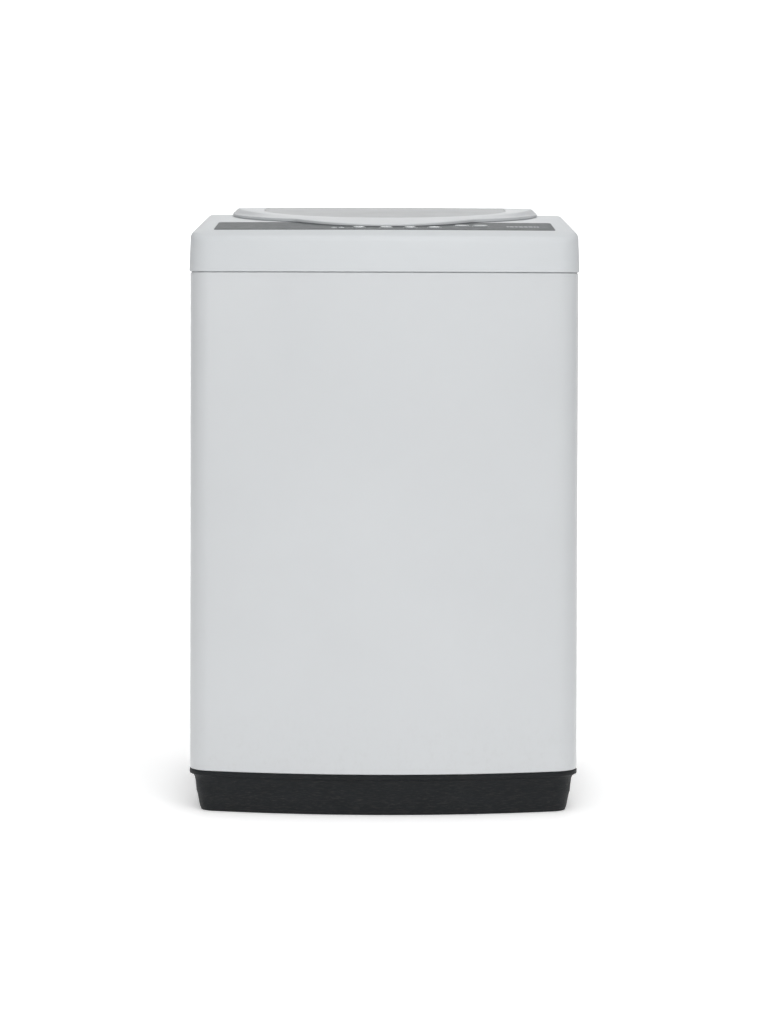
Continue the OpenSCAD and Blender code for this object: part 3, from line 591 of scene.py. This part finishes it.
# ---- base ------------------------------------------------------------------------
def base():
    """Skirt frame with a socket for each foot and thin ribs inside."""
    p = Piece()
    floor_z = bx("base")[0][2] - 2.4
    prof = [(1.5, 55.7), (0.95, 55.2), (0.9, 54), (0.9, 50.6), (1.3, 49.7), (2.2, 49.2), (4.6, 48.4),
            (6.6, 46.4), (7.8, 43.5), (8.5, 40), (9.3, 33), (10.0, 25.5), (10.5, 24.2), (11.4, 21.5),
            (13.2, 12), (14.6, 5.0), (15.3, 3.4), (16.4, floor_z), (18.8, floor_z), (19.2, 4), (17.4, 20),
            (14.8, 25), (12.6, 40), (11, 47.6), (11, 50), (30, 50), (30, 52.5), (5, 52.5), (4.6, 55.7)]
    p.loft([xyz(plan(o), z) for o, z in prof], ring_closed=True)
    socket = [(4.1, 14.2), (24.5, 14.2), (26, 15.5), (26, 50.5), (23.5, 50.5), (23.5, 24), (9, 24), (9, 40),
              (4.1, 40)]
    for foot in ("rear_feet", "front_left_foot", "front_right_foot"):
        a, b = bx(foot)
        radius = (b[1] - a[1]) / 2
        for x in (a[0] + radius, b[0] - radius)[:2 if foot == "rear_feet" else 1]:
            p.turn(socket, (x, (a[1] + b[1]) / 2), 56, closed=True)
    for x in (-234.5, 234.5):
        for y in (-90, 0, 90):
            p.box(x - 8.5, x + 8.5, y - 1.5, y + 1.5, 26, 50.5, 0.4)
    for x in (-120, 0, 120):
        p.box(x - 1.5, x + 1.5, 230, 248, 26, 50.5, 0.4)
    p.obj("base_skirt", BLACK, "cabinet", ["base"], "base_plastic")


# ---- top cover -------------------------------------------------------------------
JOINT = {j["name"]: j for j in frame["joints"]}
# keys: centre to the right, distance behind the front, half width, half depth
KEYS = [dict(x=x, u=49.0, a=8.0, b=6.0) for x in (-34.0, 2.0, 34.0, 66.0)]
KEYS += [dict(x=x, u=67.0, a=10.0, b=5.0) for x in (103.0, 128.0)]
LAMPS = [(-67.0, 49.0), (-57.0, 49.0)]


def on_deck(x, u):
    """Point on the front deck and the frame (right, back, normal) there."""
    r = BOW - u
    phi = math.asin(x / r)
    rad = np.array([math.sin(phi), -math.cos(phi), 0.0])
    z = DECK_Z + (u - FILM_U[0]) * S2
    c = np.array([0, BY, 0]) + rad * r + np.array([0, 0, z])
    th = math.atan(S2)
    right = np.array([math.cos(phi), math.sin(phi), 0])
    back = -rad * math.cos(th) + np.array([0, 0, math.sin(th)])
    nrm = rad * math.sin(th) + np.array([0, 0, math.cos(th)])
    return c, right, back, nrm


def panel_loop(o=0.0):
    """Outline of the control film, grown by o, with small rounded corners."""
    r0, r1 = BOW - FILM_U[0] + o, BOW - FILM_U[1] - o
    a0, a1 = 16.6, 18.1                     # half angles of the front and rear edges
    da = math.degrees(o / 800)              # the same growth at the ends
    left_f = np.array([r0 * math.sin(math.radians(-a0 - da)), BY - r0 * math.cos(math.radians(a0 + da))])
    front = arc(0, BY, r0, -90 - a0 - da, -90 + a0 + da, 90, False)
    right_f = left_f * [-1, 1]
    rear_r = np.array([r1 * math.sin(math.radians(a1 + da)), BY - r1 * math.cos(math.radians(a1 + da))])
    # where the rear arc goes under the lid, the film follows the lid's edge 10 mm in
    q = lid_o(-10 - o)
    q = q[q[:, 1] < 0][::-1]
    far = np.hypot(q[:, 0], BY - q[:, 1])
    i = np.nonzero(far > r1)[0]

    def cross(a, b):
        t = (r1 - far[a]) / (far[b] - far[a])
        return q[a] * (1 - t) + q[b] * t
    q = np.vstack([cross(i[0] - 1, i[0]), q[i], cross(i[-1] + 1, i[-1])])
    run = np.r_[0, np.cumsum(np.hypot(*np.diff(q, axis=0).T))]
    t = np.linspace(0, run[-1], 81)
    q = np.c_[np.interp(t, run, q[:, 0]), np.interp(t, run, q[:, 1])]
    g = math.degrees(math.atan2(q[0, 0], BY - q[0, 1]))
    p = np.vstack([
        front,
        line(right_f, rear_r, 10),
        arc(0, BY, r1, -90 + a1 + da, -90 + g, 14, False),
        q[:-1],
        arc(0, BY, r1, -90 - g, -90 - a1 - da, 14, False),
        line(rear_r * [-1, 1], left_f, 10)])
    reach = 5.5                             # where the rounding of a corner starts
    for c in (front[0], right_f, rear_r, rear_r * [-1, 1]):
        d = np.hypot(*(p - c).T)
        k = int(np.argmin(d))
        p, d = np.roll(p, -k, 0), np.roll(d, -k)
        after, before = c + (p[2] - c) * reach / d[2], c + (p[-2] - c) * reach / d[-2]
        t = np.linspace(0, 1, 9)[:, None]
        p = np.vstack([(1 - t) ** 2 * before + 2 * t * (1 - t) * c + t * t * after, p[2:-1]])
    return p


def oval(x, u, a, b, h, n):
    """Oval round the point x,u of the deck with half axes a and b, lifted by h."""
    c, right, back, normal = on_deck(x, u)
    t = round_angles(n)
    return c + np.outer(a * np.cos(t), right) + np.outer(b * np.sin(t), back) + normal * h


def panel_holes(key_gap, lamp_r):
    """Outlines of the holes for the keys and the lamps, seen from above."""
    holes = [oval(k["x"], k["u"], k["a"] + key_gap, k["b"] + key_gap, 0, 40)[:, :2] for k in KEYS]
    return holes + [circle(*on_deck(*l)[0][:2], lamp_r, 20) for l in LAMPS]


def top_cover():
    """Rolled front edge, sloping deck, panel recess, mouth and hinge trough in one shell."""
    p = Piece()
    rings = [xyz(plan(2.2), SEAM + 0.05), xyz(plan(0.9), SEAM + 0.05), xyz(plan(0.25), SEAM + 0.35),
             xyz(plan(0.0), SEAM + 1.1)]
    lean = 1.6                                  # the wall leans in by this much on its way up
    p0, p6 = plan(0), plan(6.0)
    R = 3.0 + 5.0 * np.clip((-170 - p0[:, 1]) / 50, 0, 1)       # edge radius, larger at the front

    def inset(o):
        return p0 + (p6 - p0) * (np.asarray(o) / 6.0).reshape(-1, 1)
    foot, top = SEAM + 1.1, skin(plan(lean)) - R
    for f in (0.25, 0.5, 0.75, 1.0):
        rings.append(xyz(plan(lean * f), foot + f * (top - foot)))
    for d, drop in fillet(1.0, 9)[1:]:
        q = inset(lean + d * R)
        rings.append(xyz(q, skin(q) - drop * R))
    p.loft(rings)
    outer = inset(lean + R)
    roll = 4.5                                  # rolled edge of the mouth
    tr = rect(-223.5, 223.5, 190.5, 231, 4, 5, 6)
    pl = panel_loop(0.45)
    p.fill(outer, [mouth(roll), tr, pl], 11.0, skin)
    # panel recess, with holes for the keys and lamps
    holes, sink = panel_holes(0.6, 2.6), 1.3
    p.loft([xyz(pl, deck(pl)), xyz(pl, deck(pl) - sink)])
    p.fill(pl, holes, 12.0, lambda v: deck(v) - sink)
    for h in holes:
        p.loft([xyz(h, deck(h) - sink), xyz(h, deck(h) - 3.2)])
    # mouth: rolled edge, wall, drawer opening
    rings = []
    for d, drop in fillet(roll, 6)[::-1]:
        q = mouth(d)
        rings.append(xyz(q, deck(q) - drop))
    drawer_lo, drawer_hi = 743.5, 777.5
    rings += [xyz(mouth(0), z) for z in (drawer_hi, drawer_lo, 728, 714.5)]
    rings += [xyz(mouth(0.4), 712.6), xyz(mouth(1.6), 712.0)]

    def drawer_slot(c):
        return abs(c[0]) < 71.4 and c[1] > MOUTH_FLAT - 0.5 and drawer_lo < c[2] < drawer_hi
    p.loft(rings, skip=drawer_slot)
    # hinge trough
    t1 = rect(-222.2, 222.2, 191.8, 229.7, 2.8, 5, 6)
    t2 = rect(-221.6, 221.6, 192.4, 229.1, 2.2, 5, 6)
    t3 = rect(-220.6, 220.6, 193.4, 228.1, 1.4, 5, 6)
    bed = 783.4
    p.loft([xyz(tr, deck(tr)), xyz(t1, deck(tr) - 0.6), xyz(t2, deck(t2) - 1.9), xyz(t2, 784.5),
            xyz(t3, bed)])
    p.fill(t3, (), 14, bed)
    o = p.obj("cover_shell", COVER, "cabinet", ["top_cover"], "cover_plastic", solid=COVER_WALL, smooth=40)
    # lip that reaches down inside the cabinet
    lip = Piece()
    prof = ((3.1, -11.4), (3.1, 3.4), (5, 3.4), (5, -11.4), (4.6, -12), (3.6, -12))
    lip.loft([xyz(plan(a, 2.7), SEAM + h) for a, h in prof], ring_closed=True)
    lip.obj("cover_lip", COVER, "cabinet", slot="cover_plastic")
    # inlet pocket through the back wall
    cut = Piece()
    cut.turn([(0, 230), (21.8, 230), (21.8, 275), (0, 275)], (INLET_X, INLET_Z), 64, axis="y")
    cutter = cut.obj("cutter", COVER, "cabinet")
    add_mod(o, "BOOLEAN", operation="DIFFERENCE", object=cutter, solver="EXACT")
    bpy.context.view_layer.update()
    apply_mods(o)
    bpy.data.objects.remove(cutter)
    shade(o, 40)
    cup = Piece()
    prof = [(21.4, 264.6), (21.4, 246), (16.6, 246), (16.6, 243.6), (23.9, 243.6), (23.9, 262.4),
            (22.2, 264.8)]
    cup.turn(prof, (INLET_X, INLET_Z), 64, closed=True, axis="y")
    cup.obj("inlet_pocket", COVER, "cabinet", slot="cover_plastic")


def film():
    """Control film, a little proud of the deck."""
    p = Piece()
    a, b, c = panel_loop(0.0), panel_loop(-0.45), panel_loop(-0.1)
    holes, proud, deep = panel_holes(0.5, 2.4), 0.25, 1.1
    p.loft([xyz(a, deck(a) - deep), xyz(a, deck(a) + 0.02), xyz(c, deck(c) + 0.17),
            xyz(b, deck(b) + proud)])
    p.fill(b, holes, 9.0, lambda v: deck(v) + proud)
    for h in holes:
        p.loft([xyz(h, deck(h) + proud), xyz(h, deck(h) - deep)])
    p.fill(a, holes, 14.0, lambda v: deck(v) - deep)
    p.obj("panel_film", FILM, "cabinet", ["control_panel"], "panel_film")


def bar(p, x, u, x0, x1, y0, y1):
    """Thin printed bar; x0..y1 are millimetres to the right of and behind the point x,u."""
    c, right, back, normal = on_deck(x, u)
    q = np.array([(x0, y0), (x1, y0), (x1, y1), (x0, y1)], float)
    q = c + np.outer(q[:, 0], right) + np.outer(q[:, 1], back)
    top, low = q + normal * (PRINT_H + 0.02), q + normal * (PRINT_H - 0.05)
    sides = [[i, (i + 1) % 4, 4 + (i + 1) % 4, 4 + i] for i in range(4)]
    p.add(np.vstack([low, top]), sides + [[4, 5, 6, 7], [3, 2, 1, 0]])


def halo(p, x, u, outer, inner):
    """Thin printed oval ring at x,u."""
    low, top = PRINT_H - 0.05, PRINT_H + 0.02
    rings = [oval(x, u, *a, h, 40) for a, h in ((outer, low), (outer, top), (inner, top), (inner, low))]
    p.loft(rings, ring_closed=True)


def prints():
    """A ring round each key and lamp, short bars behind the keys and a line of marks on the right."""
    p = Piece()
    rng = np.random.RandomState(4)
    for k in KEYS:
        halo(p, k["x"], k["u"], (k["a"] + 1.5, k["b"] + 1.5), (k["a"] + 1.0, k["b"] + 1.0))
        for i in range(3):
            start = -8 + i * 5.6
            bar(p, k["x"], k["u"], start, start + rng.uniform(3, 5), 9.5, 10.6)
    for x, u in LAMPS:
        halo(p, x, u, (3.6, 4.4), (2.6, 2.8))
    x = 163.0
    while x < 206:
        w = rng.uniform(2.5, 6)
        bar(p, x, 62, 0, w, -2.5, 3.0)
        x += w + 1.2
    p.obj("panel_print", FILM2, "cabinet", slot="panel_film")


def keys():
    """Domed keys with a collar and a stem each, and the two lamp lenses."""
    # growth of the outline and height over the deck
    prof = [(1.6, -5.6), (1.6, -4.3), (1.4, -4.1), (0, -4.1), (0, 0.5), (-0.15, 1.0), (-0.5, 1.35),
            (-1.1, 1.55), (-2.2, 1.45), (-3.6, 1.3), (-4.9, 1.25)]
    for i, k in enumerate(KEYS):
        p = Piece()
        rings = [oval(k["x"], k["u"], k["a"] + e, k["b"] + e, h, 48) for e, h in prof]
        p.loft(rings)
        p.cap(rings[-1])
        p.cap(rings[0])
        stem = [oval(k["x"], k["u"], 2.2, 2.2, h, 48) for h in (-5.5, -13.7, -14.0)]
        p.loft(stem)
        p.cap(stem[0])
        p.cap(stem[-1])
        p.obj("key_%d" % (i + 1), BUTTON, "button_%d" % (i + 1), ["button_%d" % (i + 1)], "button_plastic")
    p = Piece()
    prof = [(2.0, -9.0), (2.1, -8.9), (2.1, 0.3), (1.9, 0.62), (1.3, 0.9), (0.6, 1.02)]
    for x, u in LAMPS:
        rings = [oval(x, u, r, r, h, 28) for r, h in prof]
        p.loft(rings)
        p.cap(rings[-1])
        p.cap(rings[0])
    p.obj("lamp_lenses", LAMP, "cabinet", ["indicator_lights"], "lamp_red")


# ---- lid ----------------------------------------------------------------------------
def lid():
    """Frame of the lid, with the seat for its window, hinge lugs and stiffening ribs under the rear."""
    p = Piece()
    rings = []

    def put(loop, z):
        rings.append(xyz(loop, z))
    for o, dz in ((-2.4, 0), (-0.7, 0), (-0.5, -0.35), (-0.12, -0.3), (0, 0.1)):
        q = lid_o(o)
        put(q, deck(q) + GAP + dz)
    edge = lid_o(0)

    def top(q):
        """Lid surface, falling to a thin rim along the edge."""
        a, b = lidz(q), deck(q) + GAP + 3.4 + 0.30 * np.hypot(*(q - edge).T)
        level, soft = 790, 0.5
        return level - soft * np.log(np.exp((level - a) / soft) + np.exp((level - b) / soft))
    R = 1.6
    for d, drop in fillet(R, 6):
        q = lid_o(-d)
        put(q, np.maximum(top(lid_o(-R)) - drop, deck(q) + GAP + 0.3))
    a, b = lid_o(-R), win_o(1.5)
    for t in np.linspace(0, 1, 16)[1:]:
        q = a * (1 - t) + b * t
        put(q, top(q))
    # window seat: growth of the outline and depth below the surface
    for o, dz in ((0.8, 0.15), (0.45, 0.5), (0.3, 1.0), (0.3, 2.45), (-7, 2.55), (-7, 4.4), (2.4, 4.4),
                  (2.6, 2.5)):
        q = win_o(o)
        put(q, np.maximum(lidz(q) - dz, deck(q) + (GAP if dz > 3 else 0)))
    a, b = win_o(2.6), lid_o(-2.4)
    for t in (0.3, 0.6, 0.85, 1.0):
        q = a * (1 - t) + b * t
        put(q, np.maximum(top(q) - 2.3, deck(q) + GAP + 0.2))
    p.loft(rings, ring_closed=True)
    lug = [(3.06, 0), (6.2, 0), (6.6, 0.4), (6.6, 9.6), (6.2, 10), (3.06, 10)]
    t = round_angles(40)
    for x in (-206, 196):
        p.box(x, x + 10, 199.5, 212.4, HINGE_Z, 812.0, 0.6)
        rings = [np.c_[np.full(40, x + h), HINGE_Y + r * np.cos(t), HINGE_Z + r * np.sin(t)]
                 for r, h in lug]
        p.loft(rings, ring_closed=True)
    for x in (-150, -90, -30, 30, 90, 150):
        z = float(deck(np.array([[x, 190.0]]))[0])
        p.box(x - 1, x + 1, 170.5, 209.5, z + 1.6, z + 6.6, 0.3)
    p.obj("lid_shell", LIDW, "lid", ["lid_frame"], "lid_plastic", smooth=35)


def pane():
    """Window of the lid, in rings that follow its outline."""
    p = Piece()
    rim, mid = win_o(0.0), np.array([0.0, 20.0])
    low, high = -2.3, -0.3                  # its two faces, from the lid's surface
    loops = [mid + (rim - mid) * f for f in [1 - 0.8 / 168] + list(np.linspace(0.975, 0.01, 20))]
    under = [xyz(q, lidz(q) + low) for q in loops[::-1]]
    over = [xyz(q, lidz(q) + high) for q in loops]
    p.loft(under + [xyz(rim, lidz(rim) - 1.9), xyz(rim, lidz(rim) - 0.75)] + over)
    p.cap(under[0])
    p.cap(over[-1])
    p.obj("window_pane", SMOKE, "lid", ["lid_window"], "lid_glass")


# ---- wash unit ----------------------------------------------------------------
def basket():
    """Stainless wall: rows of holes between pressed vertical flutes."""
    p = Piece()
    (_, _, z0), (r0, _, z1) = bx("basket")
    columns, rows = 72, 17
    low, high = 272.0, 612.0                # the band with the holes
    dz, da = (high - low) / rows, 2 * math.pi / columns
    hole = 2.3

    def pt(a, z):
        flute = (0.5 * (1 + math.cos(12 * a))) ** 6
        fade = min(1, max(0, (z - 268) / 14)) * min(1, max(0, (616 - z) / 14))
        r = r0 - 0.2 - 2.6 * flute * fade
        return (r * math.cos(a), r * math.sin(a), z)
    for i in range(columns):
        flute = math.cos(12 * (i + 0.5) * da) > 0.35
        for j in range(rows):
            a0, c0 = i * da, low + j * dz
            am, cm, a1, c1 = a0 + da / 2, c0 + dz / 2, a0 + da, c0 + dz
            cell = [(a0, c0), (am, c0), (a1, c0), (a1, cm), (a1, c1), (am, c1), (a0, c1), (a0, cm)]
            around = [math.radians(225 + 45 * k) for k in range(8)]
            cell += [(am + hole / r0 * math.cos(t), cm + hole * math.sin(t)) for t in around]
            faces = [[k, (k + 1) % 8, 8 + (k + 1) % 8, 8 + k] for k in range(8)]
            if flute or j in (5, 11):       # no hole here
                faces.append(list(range(8, 16)))
            p.add([pt(*q) for q in cell], faces)
    ang = np.arange(columns * 2) * da / 2
    for zs in ((z0, 240, 262, 268, low), (high, 616, 622, 640, z1)):
        p.loft([np.array([pt(a, z) for a in ang]) for z in zs])
    p.obj("basket_wall", STEEL, "basket", ["basket"], "basket_steel", solid=0.7, smooth=40, weld=0.01)


def pulsator():
    """Disc with six swept blades, a hub cap and raised eyelets for the rinse holes."""
    p = Piece()
    n, m = 168, 46
    rim, blades, hub = 158.0, 6, 9.1
    radii = np.concatenate([[hub, 14, 18, 22], np.linspace(26, rim, m - 4)])

    def height(r, a):
        z = 238 + 4 * math.exp(-((r - 95) / 40) ** 2) + 38 * math.exp(-(r / 34.0) ** 2)
        if r > rim - 10:
            z += 6.5 * ((r - rim + 10) / 10) ** 2
        swept = blades * (a - 0.9 * (r / rim))
        ends = max(0.0, min(1, (r - 24) / 30)) * max(0.0, min(1, (rim - 8 - r) / 18))
        ridge = (0.5 * (1 + math.cos(swept))) ** 5 * 17 * ends * (1 - 0.35 * r / rim)
        valley = (0.5 * (1 + math.cos(swept + math.pi))) ** 8 * 1.6 * ends
        return min(z + ridge - valley, 279.6)
    ang = round_angles(n)
    top = [np.array([(r * math.cos(a), r * math.sin(a), height(r, a)) for a in ang]) for r in radii]
    under = [(hub, 229.2), (40, 229.2), (60, 226.8), (rim - 8, 226.8), (rim - 1, 231.5), (rim + 0.6, 240)]
    p.loft([xyz(circle(0, 0, r, n), z) for r, z in under] + top[::-1], ring_closed=True)
    p.obj("pulsator_disc", PULSE, "pulsator", ["pulsator"], "pulsator_plastic", smooth=50)
    cap = Piece()
    cap.turn([(15.8, 279.0), (16.2, 280), (15.2, 281.2), (12, 282.0), (9.2, 281.4), (8.8, 279.0)], (0, 0),
             56, closed=True)
    for k in range(blades):
        for r in (70, 100, 130):
            a = math.radians(60 * k + 30) + 0.9 * r / rim
            z = height(r, a)
            ring = [(1.9, z - 1.2), (1.9, z + 0.2), (2.3, z + 0.5), (3.2, z + 0.5), (3.6, z + 0.1),
                    (3.6, z - 1.2)]
            cap.turn(ring, (r * math.cos(a), r * math.sin(a)), 20, closed=True)
    cap.obj("pulsator_eyelets", BPLAST, "pulsator", slot="pulsator_plastic")


def tube(path, r, n):
    """Rings of a tube along a path, without twist; r may be an array."""
    path = np.asarray(path, float)
    along = np.gradient(path, axis=0)
    along /= np.linalg.norm(along, axis=1)[:, None]
    up = np.array([0, 0, 1.0]) if abs(along[0][2]) < 0.9 else np.array([1.0, 0, 0])
    a = round_angles(n)
    radii = np.broadcast_to(np.asarray(r, float), (len(path),))
    out = []
    for point, t, radius in zip(path, along, radii):
        up = up - t * (up @ t)
        up /= np.linalg.norm(up)
        out.append(point + radius * (np.outer(np.cos(a), up) + np.outer(np.sin(a), np.cross(t, up))))
    return out


def blended(p, name, material, node):
    """A piece that spans from the cabinet (at z0) to the tub (at z1), left outside every body."""
    o = p.obj(name, material, "cabinet")
    o.parent = None
    del o["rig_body"]
    o.matrix_world = Matrix.Identity(4)
    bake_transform(o)
    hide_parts(node)


def springs():
    """Four coil springs with closed coils at both ends."""
    (_, _, z0), (_, _, z1) = bx("suspension_springs")
    a, b = z0 + 1.7, z1 - 1.7
    turns, closed, closed_h = 8.5, 0.10, 3.0
    t = np.linspace(0, 1, 260)
    rise = np.clip((t - closed) / (1 - 2 * closed), 0, 1)
    z = a + closed_h * np.clip(t / closed, 0, 1) + (b - a - 2 * closed_h) * rise
    z = z + closed_h * np.clip((t - 1 + closed) / closed, 0, 1)
    ang = 2 * math.pi * turns * t
    p = Piece()
    for x, y in ((215, -190), (-215, -190), (-215, 205), (215, 205)):
        rings = tube(np.c_[x + 10.4 * np.cos(ang), y + 10.4 * np.sin(ang), z], 1.5, 10)
        p.loft(rings)
        p.cap(rings[0])
        p.cap(rings[-1])
    blended(p, "coil_springs", SPRING, "suspension_springs")


def hoses():
    """Straight pressure tube, and a drain bellows with one quarter bend."""
    p = Piece()
    (x0, y0, z0), (x1, y1, z1) = bx("pressure_hose")
    cx, cy = (x0 + x1) / 2, (y0 + y1) / 2
    path = [(cx, cy, z) for z in np.linspace(z0, z1, 60)]
    p.loft(tube(path, 4.6, 20) + tube(path, 3.1, 20)[::-1], ring_closed=True)
    blended(p, "pressure_tube", HOSE, "pressure_hose")
    p = Piece()
    (x0, y0, z0), (x1, y1, z1) = bx("drain_hose")
    cx, ya, zc = (x0 + x1) / 2, y0 + 18.0, z0 + 18.0
    R = 14
    path = [(cx, y, zc) for y in np.linspace(y1 - 0.5, ya + R, 34)]
    quarter = np.linspace(0, math.pi / 2, 16)[1:]
    path += [(cx, ya + R - R * math.sin(t), zc + R - R * math.cos(t)) for t in quarter]
    path += [(cx, ya, z) for z in np.linspace(zc + R, z1 - 0.5, 18)[1:]]
    radii = 16.9 + 0.9 * np.cos(np.arange(len(path)) * math.pi * 0.667)
    radii[:6] = 17.3                        # plain cuffs
    radii[-5:] = 17.3
    p.loft(tube(path, radii, 28) + tube(path, 15.2, 28)[::-1], ring_closed=True)
    blended(p, "drain_bellows", HOSE, "drain_hose")


def belt():
    """Ribbed belt round both pulleys: flat outside, three ribs inside."""
    (_, _, z0), (_, _, z1) = bx("drive_belt")
    mx, my = [v / MM for v in JOINT["motor_pulley_spin"]["pos_m"]][:2]
    span, a = math.hypot(mx, my), math.degrees(math.atan2(my, mx))

    def loop(e):
        big, small = 67.35 + e, 21.35 + e
        b = math.degrees(math.acos((big - small) / span))
        A, B = arc(0, 0, big, a + b, a + 360 - b, 90), arc(mx, my, small, a - b, a + b, 44)
        return np.vstack([A, line(A[-1], B[0], 12)[1:], B, line(B[-1], A[0], 12)[1:]])
    prof = [(0.1, z0 + 0.1), (3.2, z0 + 0.1), (3.4, z0 + 0.4), (3.4, z1 - 0.4), (3.2, z1 - 0.1),
            (0.1, z1 - 0.1)]
    ribs = 3
    w = (z1 - z0 - 0.2) / ribs
    for i in range(ribs):
        t = z1 - 0.1 - i * w
        prof.append((1.0, t - w / 2))
        if i < ribs - 1:
            prof.append((0.1, t - w))
    p = Piece()
    p.loft([xyz(loop(e), z) for e, z in prof], ring_closed=True)
    p.obj("ribbed_belt", RUBBER, "suspended_tub", ["drive_belt"], "belt_rubber")


def back_panel():
    """Pressed sheet with five shallow ribs, rows of air slots and two round holes."""
    (x0, y0, z0), (x1, _, z1) = bx("back_panel")
    nx, nz = 140, 206
    X, Z = np.linspace(x0 + 0.2, x1 - 0.2, nx + 1), np.linspace(z0 + 0.2, z1 - 0.2, nz + 1)

    def rib(x, z):
        d = min(max(abs(z - 306 - 60 * i) - 3.0, 0) for i in range(5)) + max(abs(x) - 147, 0)
        return 1.5 * max(0.0, 1 - d / 3.5)

    def is_hole(x, z):
        if math.hypot(x + 150, z - 150) < 10.2 or math.hypot(x - 150, z - 110) < 17.2:
            return True
        return 149 < z < 215 and -66 <= x <= 66 and (z - 150) % 12 < 4 and (x + 66) % 20 < 12
    faces = []
    for j in range(nz):
        for i in range(nx):
            if not is_hole((X[i] + X[i + 1]) / 2, (Z[j] + Z[j + 1]) / 2):
                k = j * (nx + 1) + i
                faces.append([k + 1, k, k + nx + 1, k + nx + 2])
    p = Piece()
    p.add([(x, y0 + 1.0 + rib(x, z), z) for z in Z for x in X], faces)
    p.obj("rear_sheet", GREYST, "cabinet", ["back_panel"], "back_steel", solid=0.8, smooth=40)


for build in (cabinet, base, top_cover, film, prints, keys, lid, pane, basket, pulsator, springs, hoses,
              belt, back_panel):
    build()

# softened edges on the CAD nodes that stay on show
for o in NODE.values():
    if o.hide_render:
        continue
    add_mod(o, "WELD", merge_threshold=0.02 * MM)
    add_mod(o, "BEVEL", width=0.5 * MM, segments=2, limit_method="ANGLE", angle_limit=math.radians(40),
            use_clamp_overlap=True)
    o.data.polygons.foreach_set("use_smooth", [True] * len(o.data.polygons))
    add_mod(o, "WEIGHTED_NORMAL", keep_sharp=True, weight=50)


# ---- floor, light, camera ---------------------------------------------------
def stage_mat():
    """Pale matte stage, faintly mottled, with a little light of its own."""
    m = bpy.data.materials.new("floor_pale")
    m.use_nodes = True
    t = m.node_tree
    p = t.nodes["Principled BSDF"]
    n = t.nodes.new("ShaderNodeTexNoise")
    n.inputs["Scale"].default_value = 3.0
    r = t.nodes.new("ShaderNodeMix")
    r.data_type = "RGBA"
    pale = 0.99
    r.inputs[6].default_value = (pale * 0.985, pale * 0.985, pale * 0.985, 1)
    r.inputs[7].default_value = (pale, pale, pale, 1)
    t.links.new(n.outputs[0], r.inputs[0])
    t.links.new(r.outputs[2], p.inputs["Base Color"])
    p.inputs["Roughness"].default_value = 0.7
    p.inputs["Emission Color"].default_value = (1, 1, 1, 1)
    p.inputs["Emission Strength"].default_value = 0.36
    return m


def floor():
    """Floor that curves up into a low back wall; metres."""
    bend_y, R, half = 5.0, 1.6, 9.0
    prof = [(-half, 0.0), (bend_y, 0.0)]
    prof += [(bend_y + R * math.sin(t), R - R * math.cos(t)) for t in np.linspace(0, math.pi / 2, 14)[1:]]
    prof.append((bend_y + R, 2.2))
    v = [(x, y, z) for y, z in prof for x in (-half, half)]
    f = [[2 * i, 2 * i + 1, 2 * i + 3, 2 * i + 2] for i in range(len(prof) - 1)]
    me = bpy.data.meshes.new("floor")
    me.from_pydata(v, [], f)
    me.materials.append(stage_mat())
    me.polygons.foreach_set("use_smooth", [True] * len(me.polygons))
    o = bpy.data.objects.new("floor", me)
    bpy.context.scene.collection.objects.link(o)


def area(name, loc, target, size, power, depth=None):
    """Rectangular light of size by depth metres, aimed at target."""
    light = bpy.data.lights.new(name, "AREA")
    light.shape = "RECTANGLE"
    light.size, light.size_y = size, depth or size
    light.energy = power
    o = bpy.data.objects.new(name, light)
    o.location = loc
    o.rotation_euler = (Vector(target) - Vector(loc)).to_track_quat("-Z", "Y").to_euler()
    bpy.context.scene.collection.objects.link(o)


floor()
area("key", (0.45, -2.5, 2.5), (0, 0, 0.7), 1.8, 43)
area("fill", (-2.4, -3.2, 1.5), (0, 0, 0.5), 2.0, 12)
area("top", (0, -0.3, 3.6), (0, -0.3, 0), 2.4, 34)
area("rim", (0, 6.0, 3.5), (0, 0, 0.8), 4.2, 46, 1.26)
area("backdrop", (0, 3.3, 4.1), (0, 6.3, 0.9), 3.2, 110, 1.2)
world = bpy.data.worlds.new("studio")
world.use_nodes = True
world.node_tree.nodes["Background"].inputs[0].default_value = (1.0, 1.0, 1.0, 1)
world.node_tree.nodes["Background"].inputs[1].default_value = 0.22
bpy.context.scene.world = world
bpy.context.scene.view_settings.view_transform = "Standard"

cam = bpy.data.cameras.new("camera")
cam.lens = 114.74
cam.sensor_width = 36.0
cam.clip_start, cam.clip_end = 0.1, 60
cam.shift_x, cam.shift_y = -0.0264, -0.1127
eye = bpy.data.objects.new("camera", cam)
eye.location = (0.0056, -4.5471, 0.6942)
pan = Matrix.Rotation(math.radians(-0.397), 4, "Z")
pitch = Matrix.Rotation(math.radians(90) - math.radians(1.859), 4, "X")
roll = Matrix.Rotation(math.radians(0.166), 4, "Z")
eye.rotation_euler = (pan @ pitch @ roll).to_euler()
bpy.context.scene.collection.objects.link(eye)
bpy.context.scene.camera = eye
